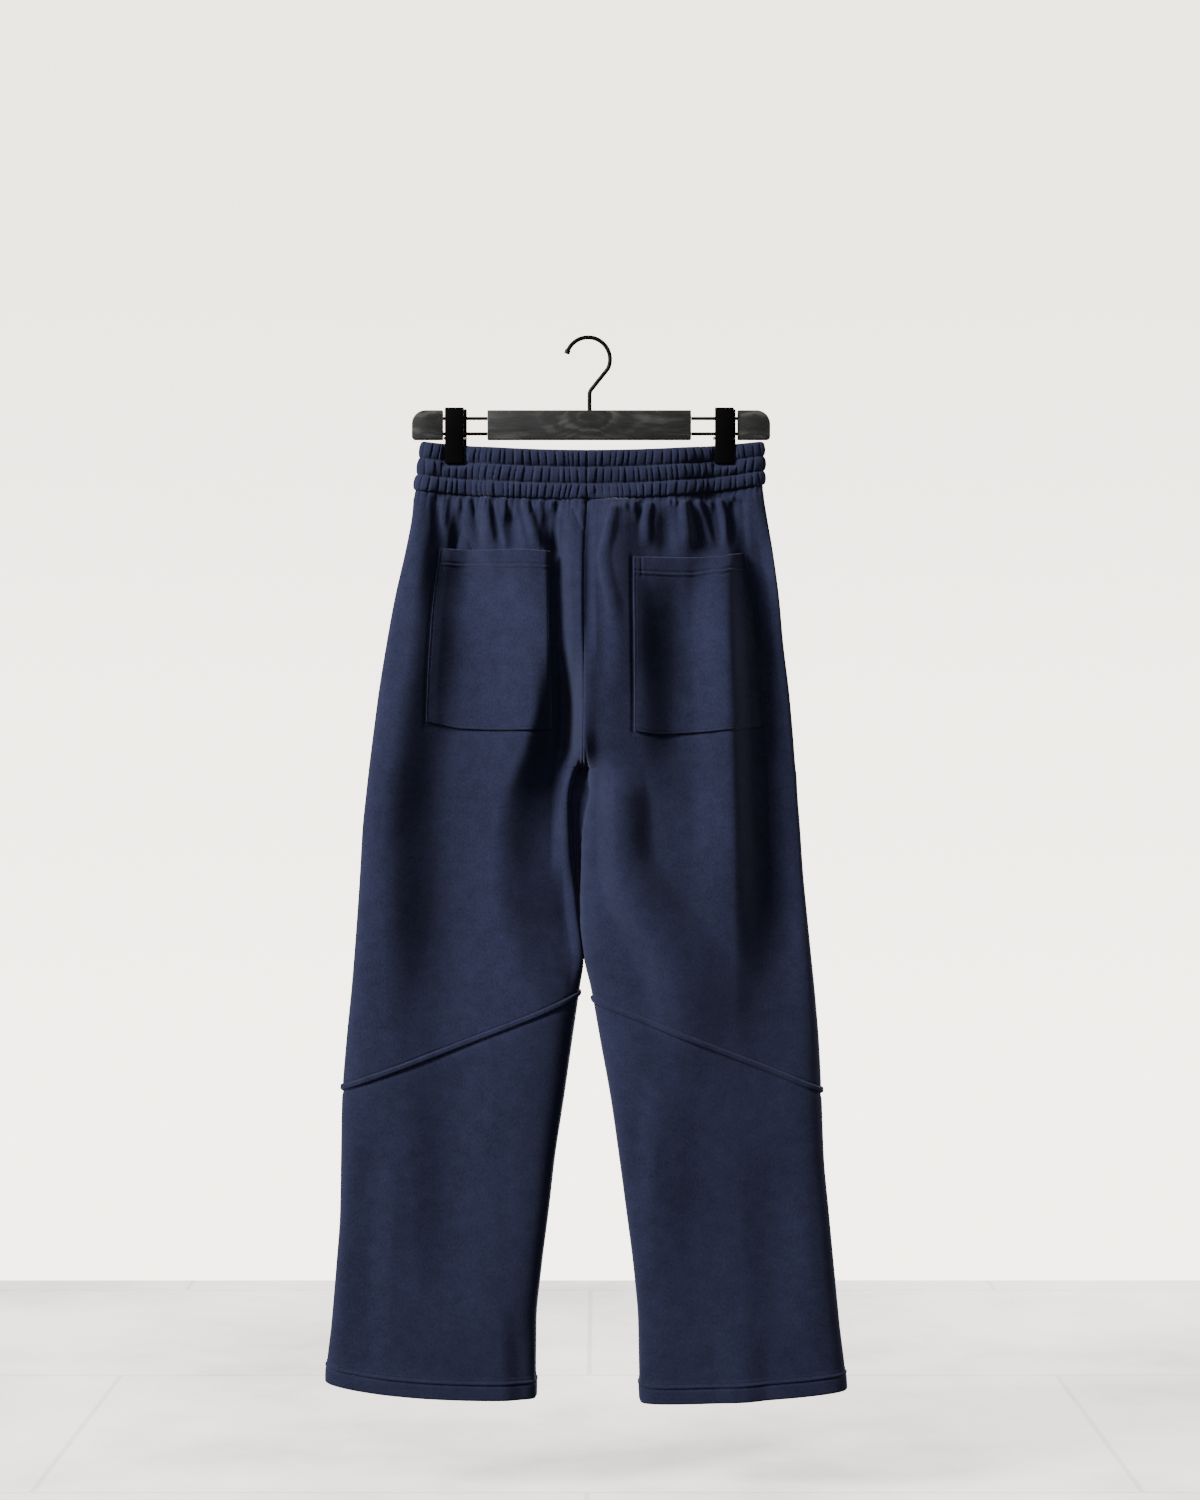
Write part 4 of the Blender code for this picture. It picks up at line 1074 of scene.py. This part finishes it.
def stitch_tree():
    """Lay short rounded stitches end to end along every line of the piece."""
    tree = bpy.data.node_groups.new("stitches along lines", "GeometryNodeTree")
    tree.interface.new_socket("Lines", in_out="INPUT", socket_type="NodeSocketGeometry")
    for name in ("Pitch", "Stitch length", "Thread width"):
        tree.interface.new_socket(name, in_out="INPUT", socket_type="NodeSocketFloat")
    tree.interface.new_socket("Thread", in_out="INPUT", socket_type="NodeSocketMaterial")
    tree.interface.new_socket("Stitches", in_out="OUTPUT", socket_type="NodeSocketGeometry")
    nodes = tree.nodes
    given = nodes.new("NodeGroupInput")
    result = nodes.new("NodeGroupOutput")
    curve = nodes.new("GeometryNodeMeshToCurve")
    spaced = nodes.new("GeometryNodeResampleCurve")
    spaced.mode = "LENGTH"
    tangent = nodes.new("GeometryNodeInputTangent")
    turn = nodes.new("FunctionNodeAlignRotationToVector")
    turn.axis = "X"
    ball = nodes.new("GeometryNodeMeshUVSphere")
    ball.inputs["Segments"].default_value = 6
    ball.inputs["Rings"].default_value = 4
    ball.inputs["Radius"].default_value = 0.5
    size = nodes.new("ShaderNodeCombineXYZ")
    place = nodes.new("GeometryNodeInstanceOnPoints")
    real = nodes.new("GeometryNodeRealizeInstances")
    dye = nodes.new("GeometryNodeSetMaterial")
    for source, output, target, socket in (
            (given, "Lines", curve, "Mesh"),
            (curve, "Curve", spaced, "Curve"),
            (given, "Pitch", spaced, "Length"),
            (tangent, "Tangent", turn, "Vector"),
            (given, "Stitch length", size, "X"),
            (given, "Thread width", size, "Y"),
            (given, "Thread width", size, "Z"),
            (spaced, "Curve", place, "Points"),
            (ball, "Mesh", place, "Instance"),
            (turn, "Rotation", place, "Rotation"),
            (size, "Vector", place, "Scale"),
            (place, "Instances", real, "Geometry"),
            (real, "Geometry", dye, "Geometry"),
            (given, "Thread", dye, "Material"),
            (dye, "Geometry", result, "Stitches")):
        tree.links.new(source.outputs[output], target.inputs[socket])
    return tree


def sew(name, paths, tree, thread):
    """Stitches along the given paths, as one plain mesh."""
    lines = bpy.data.meshes.new(name)
    points = np.concatenate(paths) * MM
    edges = []
    start = 0
    for path in paths:
        edges += [(start + k, start + k + 1) for k in range(len(path) - 1)]
        start += len(path)
    lines.from_pydata(points.tolist(), edges, [])
    item = placed(name, lines)
    sewing = item.modifiers.new("sewing", "NODES")
    sewing.node_group = tree
    values = {"Pitch": STITCH_PITCH * MM, "Stitch length": STITCH_LENGTH * MM,
              "Thread width": STITCH_WIDTH * MM, "Thread": thread}
    for socket in tree.interface.items_tree:
        if socket.in_out == "INPUT" and socket.name in values:
            sewing[socket.identifier] = values[socket.name]
    bpy.context.view_layer.update()
    evaluated = item.evaluated_get(bpy.context.evaluated_depsgraph_get())
    sewn = bpy.data.meshes.new_from_object(evaluated)
    item.modifiers.remove(sewing)
    item.data = sewn
    sewn.shade_smooth()
    return item


class Nodes:
    """A short way to write a material's nodes."""

    def __init__(self, name):
        self.material = bpy.data.materials.new(name)
        self.material.use_nodes = True
        self.tree = self.material.node_tree
        self.shader = self.tree.nodes["Principled BSDF"]

    def add(self, kind, inputs=(), **settings):
        node = self.tree.nodes.new(kind)
        for key, value in settings.items():
            setattr(node, key, value)
        for key, value in dict(inputs).items():
            if isinstance(value, bpy.types.NodeSocket):
                self.tree.links.new(value, node.inputs[key])
            else:
                node.inputs[key].default_value = value
        return node

    def set(self, **values):
        for key, value in values.items():
            self.shader.inputs[key.replace("_", " ")].default_value = value

    def place(self):
        return self.add("ShaderNodeTexCoord").outputs["Object"]

    def noise(self, vector, scale, detail=3.0, roughness=0.55):
        node = self.add("ShaderNodeTexNoise", {"Vector": vector, "Scale": scale, "Detail": detail,
                                               "Roughness": roughness})
        return node.outputs["Fac"]

    def math(self, operation, first, second):
        return self.add("ShaderNodeMath", {0: first, 1: second}, operation=operation).outputs[0]

    def bell(self, value, narrowness):
        """1 where the value is 0, less on both sides of it."""
        square = self.math("MULTIPLY", value, value)
        return self.math("EXPONENT", self.math("MULTIPLY", square, -narrowness), 0.0)

    def stretched(self, vector, scale):
        return self.add("ShaderNodeVectorMath", {0: vector, 1: scale},
                        operation="MULTIPLY").outputs[0]

    def streaks(self, vector, stretch, detail, roughness=0.55):
        return self.noise(self.stretched(vector, stretch), 1.0, detail, roughness)

    def ramp(self, fac, stops):
        node = self.add("ShaderNodeValToRGB", {"Fac": fac})
        elements = node.color_ramp.elements
        while len(elements) < len(stops):
            elements.new(0.5)
        for element, (position, colour) in zip(elements, stops):
            element.position = position
            element.color = (*colour, 1.0)
        return node.outputs["Color"]

    def blend(self, fac, first, second, how="MIX"):
        node = self.add("ShaderNodeMix", data_type="RGBA", blend_type=how)
        for k, value in ((0, fac), (6, first), (7, second)):
            socket = node.inputs[k]
            if isinstance(value, bpy.types.NodeSocket):
                self.tree.links.new(value, socket)
            else:
                socket.default_value = value
        return node.outputs[2]

    def bump(self, height, strength, distance, below=None):
        inputs = {"Height": height, "Strength": strength, "Distance": distance}
        if below is not None:
            inputs["Normal"] = below
        return self.add("ShaderNodeBump", inputs).outputs["Normal"]

    def into(self, socket, name):
        self.tree.links.new(socket, self.shader.inputs[name])


def fleece_material():
    """Heavy cotton fleece, smooth knit face: fine wales, soft mottling and a faint nap."""
    m = Nodes("navy fleece")
    layout = m.add("ShaderNodeUVMap", uv_map="cloth").outputs["UV"]
    place = m.place()
    mottle = m.noise(place, 70.0, 4.0, 0.6)
    drift = m.noise(place, 9.0, 2.0, 0.5)
    fibre = m.streaks(layout, (460.0, 300.0, 1.0), 3.0, 0.65)
    knit = m.streaks(layout, (900.0, 300.0, 1.0), 1.0, 0.5)
    shade = m.blend(0.6, mottle, fibre)
    shade = m.blend(0.2, shade, drift)
    m.into(m.ramp(shade, ((0.36, FLEECE_DARK), (0.64, FLEECE_LIGHT))), "Base Color")
    soft = m.bump(mottle, 0.25, 0.0006)
    m.into(m.bump(knit, 0.35, 0.0003, soft), "Normal")
    m.set(Roughness=0.95, Sheen_Weight=0.15, Sheen_Roughness=0.55,
          Sheen_Tint=(0.52, 0.56, 0.88, 1.0), Specular_IOR_Level=0.16)
    return m.material


def thread_material():
    """Polyester sewing thread in the cloth's colour."""
    m = Nodes("navy thread")
    place = m.place()
    twist = m.noise(place, 2400.0, 1.0)
    m.into(m.ramp(twist, ((0.3, THREAD_DARK), (0.7, THREAD_LIGHT))), "Base Color")
    m.set(Roughness=0.6, Specular_IOR_Level=0.4)
    return m.material


def wood_material(name, knot):
    """Black stained wood: grain that flows round a knot, with pale crescents beside it."""
    m = Nodes(name)
    place = m.place()
    from_knot = m.add("ShaderNodeVectorMath", {0: place, 1: knot}, operation="SUBTRACT").outputs[0]
    parts = m.add("ShaderNodeSeparateXYZ", {0: from_knot})
    along = m.math("MULTIPLY", parts.outputs["X"], 1.0 / KNOT_REACH)
    near = m.bell(along, 1.0)
    drift = m.noise(place, 30.0, 3.0)
    bend = m.math("MULTIPLY", near, KNOT_BEND)
    waver = m.math("MULTIPLY", drift, 0.006)
    level = m.math("ADD", m.math("ADD", parts.outputs["Z"], bend), waver)
    flow = m.add("ShaderNodeCombineXYZ", {0: parts.outputs["X"], 1: parts.outputs["Y"], 2: level})
    flow = flow.outputs["Vector"]
    grain = m.streaks(flow, (16.0, 60.0, 210.0), 5.0, 0.62)
    cloud = m.streaks(flow, (22.0, 40.0, 60.0), 3.0, 0.6)
    pores = m.streaks(flow, (60.0, 900.0, 1200.0), 3.0, 0.6)
    ring_place = m.stretched(from_knot, (KNOT_ROUND[0], 20.0, KNOT_ROUND[1]))
    away = m.add("ShaderNodeVectorMath", {0: ring_place}, operation="LENGTH").outputs["Value"]
    away = m.math("ADD", away, m.math("MULTIPLY", m.math("SUBTRACT", drift, 0.5), 2.6))
    rings = m.math("SINE", m.math("MULTIPLY", away, 5.5), 0.0)
    ring_share = m.bell(away, 0.16)
    lit = m.math("MULTIPLY", rings, m.math("MULTIPLY", ring_share, 0.13))
    core = m.bell(away, 2.2)
    lit = m.math("SUBTRACT", lit, m.math("MULTIPLY", core, 0.10))
    tone = m.math("ADD", m.math("MULTIPLY", grain, 0.55), m.math("MULTIPLY", cloud, 0.45))
    tone = m.math("ADD", tone, lit)
    colour = m.ramp(tone, ((0.30, (0.0045, 0.0044, 0.0043)), (0.50, (0.0150, 0.0146, 0.0144)),
                           (0.72, (0.0720, 0.0710, 0.0690))))
    worn = m.blend(0.2, colour, m.ramp(pores, ((0.4, (0.004, 0.004, 0.004)),
                                               (0.75, (0.05, 0.049, 0.048)))))
    m.into(worn, "Base Color")
    m.into(m.bump(pores, 0.3, 0.0003), "Normal")
    m.set(Roughness=0.52, Specular_IOR_Level=0.35)
    return m.material


def plastic_material():
    """Matte black moulded plastic with a fine spark-etched face."""
    m = Nodes("matte black plastic")
    place = m.place()
    etched = m.noise(place, 2200.0, 2.0)
    cloud = m.noise(place, 60.0, 2.0)
    m.into(m.ramp(cloud, ((0.3, (0.0006, 0.0006, 0.0006)), (0.7, (0.0012, 0.0012, 0.0012)))),
           "Base Color")
    m.into(m.bump(etched, 0.2, 0.0001), "Normal")
    m.set(Roughness=0.7, Specular_IOR_Level=0.05)
    return m.material


def steel_material(name, dark, light, roughness):
    """Drawn steel: long fine scratches and a slight change of tone."""
    m = Nodes(name)
    place = m.place()
    cloud = m.noise(place, 90.0, 3.0)
    scratch = m.streaks(place, (60.0, 2500.0, 2500.0), 2.0)
    m.into(m.ramp(cloud, ((0.3, dark), (0.7, light))), "Base Color")
    m.into(m.bump(scratch, 0.25, 0.0001), "Normal")
    m.set(Roughness=roughness, Metallic=1.0)
    return m.material


def floor_material():
    """Pale worn plaster tiles: a light floor with cloudy patches and fine joints."""
    m = Nodes("pale floor")
    place = m.place()
    cloud = m.noise(place, 2.2, 6.0, 0.62)
    worn = m.ramp(cloud, ((0.34, (0.62, 0.585, 0.535)), (0.5, (0.80, 0.76, 0.705)),
                          (0.66, (0.93, 0.895, 0.845))))
    joints = m.add("ShaderNodeTexBrick", {"Vector": place, "Scale": 1.0, "Mortar Size": 0.0035,
                                          "Brick Width": 1.2, "Row Height": 0.6,
                                          "Color1": (1.0, 1.0, 1.0, 1.0),
                                          "Color2": (0.97, 0.97, 0.97, 1.0),
                                          "Mortar": (0.82, 0.81, 0.80, 1.0)})
    tiles = m.blend(1.0, worn, joints.outputs["Color"], "MULTIPLY")
    m.into(tiles, "Base Color")
    m.into(tiles, "Emission Color")
    m.set(Roughness=0.7, Emission_Strength=FLOOR_GLOW)
    return m.material


def make_camera():
    data = bpy.data.cameras.new("camera")
    data.sensor_width = SENSOR
    data.lens = SENSOR * CAMERA_AWAY / FRAME_SIZE[1]
    camera = placed("camera", data)
    camera.location = (CAMERA_X * MM, -CAMERA_AWAY * MM, -CAMERA_DROP * MM)
    camera.rotation_euler = (math.pi / 2, 0.0, 0.0)
    bpy.context.scene.camera = camera


def make_floor():
    left, near, right, far = FLOOR_BOX
    mesh = bpy.data.meshes.new("floor")
    level = -FLOOR_DROP * MM
    mesh.from_pydata([(left, near, level), (right, near, level), (right, far, level),
                      (left, far, level)], [], [(0, 1, 2, 3)])
    mesh.materials.append(floor_material())
    floor = placed("floor", mesh)
    floor.visible_diffuse = False
    floor.visible_glossy = False


def make_lamps():
    for lamp in LAMPS:
        data = bpy.data.lights.new(lamp.name, "AREA")
        data.size = lamp.size
        data.energy = lamp.power
        item = placed(lamp.name, data)
        item.location = lamp.place
        towards = Vector(LAMP_TARGET) - Vector(lamp.place)
        item.rotation_euler = towards.to_track_quat("-Z", "Y").to_euler()
        item.visible_camera = False


def make_world():
    """Pale studio air: a warm bright wall to look at, and a low even light on the garment."""
    world = bpy.data.worlds.new("studio")
    bpy.context.scene.world = world
    world.use_nodes = True
    tree = world.node_tree
    background = tree.nodes["Background"]
    place = tree.nodes.new("ShaderNodeTexCoord")
    parts = tree.nodes.new("ShaderNodeSeparateXYZ")
    wall = tree.nodes.new("ShaderNodeMapRange")
    rays = tree.nodes.new("ShaderNodeLightPath")
    strength = tree.nodes.new("ShaderNodeMapRange")
    tree.links.new(place.outputs["Generated"], parts.inputs["Vector"])
    tree.links.new(parts.outputs["Z"], wall.inputs["Value"])
    for name, value in zip(("From Min", "From Max", "To Min", "To Max"), WORLD_WALL):
        wall.inputs[name].default_value = value
    tree.links.new(wall.outputs["Result"], strength.inputs["To Max"])
    strength.inputs["To Min"].default_value = WORLD_AIR
    tree.links.new(rays.outputs["Is Camera Ray"], strength.inputs["Value"])
    tree.links.new(strength.outputs["Result"], background.inputs["Strength"])
    background.inputs["Color"].default_value = WORLD_TINT


def extruded_piece(name, outline, axis, span, material, bevel):
    """A prism: the outline's points lie in the plane across the axis, in x or y, and drop."""
    mesh_data = bmesh.new()

    def place(point, along):
        if axis == "y":
            return Vector((point[0], along, -point[1])) * MM
        return Vector((along, point[0], -point[1])) * MM

    ends = [[mesh_data.verts.new(place(point, along)) for point in outline] for along in span]
    for end in ends:
        mesh_data.faces.new(end)
    count = len(outline)
    for i in range(count):
        j = (i + 1) % count
        mesh_data.faces.new((ends[0][i], ends[0][j], ends[1][j], ends[1][i]))
    bmesh.ops.recalc_face_normals(mesh_data, faces=mesh_data.faces[:])
    sharp = [edge for edge in mesh_data.edges if edge.calc_face_angle() > BEVELLED_FROM]
    bmesh.ops.bevel(mesh_data, geom=sharp, offset=bevel * MM, offset_type="OFFSET", segments=3,
                    profile=0.5, affect="EDGES", clamp_overlap=True)
    mesh = bpy.data.meshes.new(name)
    mesh_data.to_mesh(mesh)
    mesh_data.free()
    mesh.materials.append(material)
    mesh.shade_smooth()
    mesh.set_sharp_from_angle(angle=SHARP_FROM)
    return placed(name, mesh)


def round_bar(name, x_from, x_to, drop, radius, material, bevel):
    outline = [(radius * math.cos(turn), drop + radius * math.sin(turn))
               for turn in (math.tau * k / BAR_SIDES for k in range(BAR_SIDES))]
    return extruded_piece(name, outline, "x", (x_from, x_to), material, bevel)


def stands_for(piece, node):
    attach(piece, "root")
    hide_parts(node)


def make_bar():
    half = BAR_DEPTH / 2
    rectangle = [(BAR_CENTRE_X[0], BAR_TOP), (BAR_CENTRE_X[1], BAR_TOP),
                 (BAR_CENTRE_X[1], BAR_FOOT), (BAR_CENTRE_X[0], BAR_FOOT)]
    centre = extruded_piece("wood_bar_centre", rectangle, "y", (-half, half),
                            wood_material("stained wood centre", KNOTS["centre"]), BAR_BEVEL)
    stands_for(centre, "bar_centre")
    for side, (outer, inner) in BAR_END_X.items():
        towards = 1.0 if inner > outer else -1.0
        middle = outer + towards * BAR_END_RADIUS
        arc = [(middle - towards * BAR_END_RADIUS * math.cos(turn),
                BAR_TOP + BAR_END_RADIUS - BAR_END_RADIUS * math.sin(turn))
               for turn in (math.pi / 2 * k / BAR_ARC_STEPS for k in range(BAR_ARC_STEPS + 1))]
        outline = arc + [(inner, BAR_TOP), (inner, BAR_FOOT),
                         (outer + towards * BAR_END_CUT, BAR_FOOT), (outer, BAR_FOOT - BAR_END_CUT)]
        end = extruded_piece("wood_bar_end_" + side, outline, "y", (-half, half),
                             wood_material("stained wood " + side, KNOTS[side]), BAR_BEVEL)
        stands_for(end, "bar_end_" + side)


def make_rods(steel):
    for side, centre_face in zip(("left", "right"), BAR_CENTRE_X):
        end_face = BAR_END_X[side][1]
        towards = 1.0 if centre_face > end_face else -1.0
        ends = (end_face + towards * FIT_GAP, centre_face - towards * FIT_GAP)
        for level, drop in ROD_DROPS.items():
            node = f"rod_{level}_{side}"
            rod = round_bar("steel_" + node, min(ends), max(ends), drop, ROD_LOOK_RADIUS,
                            steel, ROD_BEVEL)
            stands_for(rod, node)


def make_clip(side, frame, plastic, bright):
    """The two jaws and the pin; the carrier keeps its own shape and gets the plastic."""
    middle = CLIP_X[side]
    for slot in frame["nodes"]["clip_carrier_" + side].material_slots:
        slot.material = plastic
    pin = round_bar("steel_clip_pin_" + side, middle - PIN_LENGTH / 2, middle + PIN_LENGTH / 2,
                    PIN_DROP, PIN_RADIUS, bright, PIN_BEVEL)
    stands_for(pin, "clip_pin_" + side)
    upper = CARRIER_HALF_DEPTH + FIT_GAP
    grip = GRIP_DEPTH + JAW_GRIP_GAP
    inner_face = [(upper, JAW_TOP), (upper, JAW_BEND_DROPS[0]),
                  (grip, JAW_BEND_DROPS[1]), (grip, JAW_FOOT)]
    outer_face = [(y + JAW_THICKNESS, drop) for y, drop in reversed(inner_face)]
    for place, sign in (("near", -1.0), ("far", 1.0)):
        node = f"clip_jaw_{place}_{side}"
        outline = [(sign * y, drop) for y, drop in inner_face + outer_face]
        shift = FAR_JAW_SHIFT if place == "far" else 0.0
        span = (middle - JAW_LOOK_WIDTH / 2 + shift, middle + JAW_LOOK_WIDTH / 2 + shift)
        jaw = extruded_piece("plastic_" + node, outline, "x", span, plastic, JAW_BEVEL)
        stands_for(jaw, node)


def hook_route():
    """The hook's wire: a round head, a slanted straight and a stem into the bar."""
    radius = HOOK_CENTRE[1] + HOOK_WIRE
    route = []
    for k in range(HOOK_STEPS + 1):
        turn = math.radians(mix(HOOK_ARC[0], HOOK_ARC[1], k / HOOK_STEPS))
        route.append((HOOK_CENTRE[0] + radius * math.cos(turn),
                      HOOK_CENTRE[1] - radius * math.sin(turn)))
    return route + list(HOOK_NECK) + [(HOOK_NECK[-1][0], BAR_TOP - FIT_GAP)]


def make_hook(steel):
    curve = bpy.data.curves.new("hook wire", "CURVE")
    curve.dimensions = "3D"
    curve.bevel_depth = HOOK_LOOK_RADIUS * MM
    curve.bevel_resolution = 6
    curve.use_fill_caps = True
    spline = curve.splines.new("POLY")
    route = hook_route()
    spline.points.add(len(route) - 1)
    for point, (x, drop) in zip(spline.points, route):
        point.co = (x * MM, 0.0, -drop * MM, 1.0)
    for point in spline.points[:HOOK_TIP_POINTS]:
        point.radius = HOOK_TIP_SWELL
    curve.materials.append(steel)
    wire = placed("wire_hook", curve)
    bpy.context.view_layer.update()
    evaluated = wire.evaluated_get(bpy.context.evaluated_depsgraph_get())
    mesh = bpy.data.meshes.new_from_object(evaluated)
    bpy.data.objects.remove(wire)
    stands_for(placed("wire_hook", mesh), "hook")


def declare_cloth(name, piece, stitches=()):
    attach(piece, "root")
    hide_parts(name)
    for line in stitches:
        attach(line, "root")


def make_half(side, fleece, tree, thread):
    half = HalfCloth(side)
    panels = make_panels(half, fleece)
    knee = sew("stitches_knee_" + side,
               [half.row_path("knee seam", KNEE_STITCH / KNEE_SLANT, "back")], tree, thread)
    back_hem = sew("stitches_back_hem_" + side,
                   [half.row_path("hem", above, "back") for above in HEM_ROWS], tree, thread)
    front_hem = sew("stitches_front_hem_" + side,
                    [half.row_path("hem", above, "front") for above in HEM_ROWS], tree, thread)
    pocket = PocketCloth(side)
    pocket_piece = pocket.shell(fleece)
    edges = sew("stitches_pocket_" + side, pocket.paths(), tree, thread)
    declare_cloth("back_upper_" + side, panels["back_upper_" + side], [knee])
    declare_cloth("back_lower_" + side, panels["back_lower_" + side], [back_hem])
    declare_cloth("front_" + side, panels["front_" + side], [front_hem])
    declare_cloth("pocket_" + side, pocket_piece, [edges])


def make_waistband(fleece, tree, thread):
    band = BandCloth()
    ring = cloth_shell("cloth_waistband", band.points, band.normals, fleece, BAND_WALL, ring=True)
    rows = sew("stitches_waistband", band.paths(), tree, thread)
    declare_cloth("waistband", ring, [rows])


def main():
    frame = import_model()
    make_camera()
    make_world()
    make_lamps()
    make_floor()
    fleece = fleece_material()
    thread = thread_material()
    tree = stitch_tree()
    for side in ("left", "right"):
        make_half(side, fleece, tree, thread)
    make_waistband(fleece, tree, thread)
    make_bar()
    make_rods(steel_material(*ROD_STEEL))
    plastic = plastic_material()
    bright = steel_material(*PIN_STEEL)
    for side in ("left", "right"):
        make_clip(side, frame, plastic, bright)
    make_hook(steel_material(*HOOK_STEEL))


main()
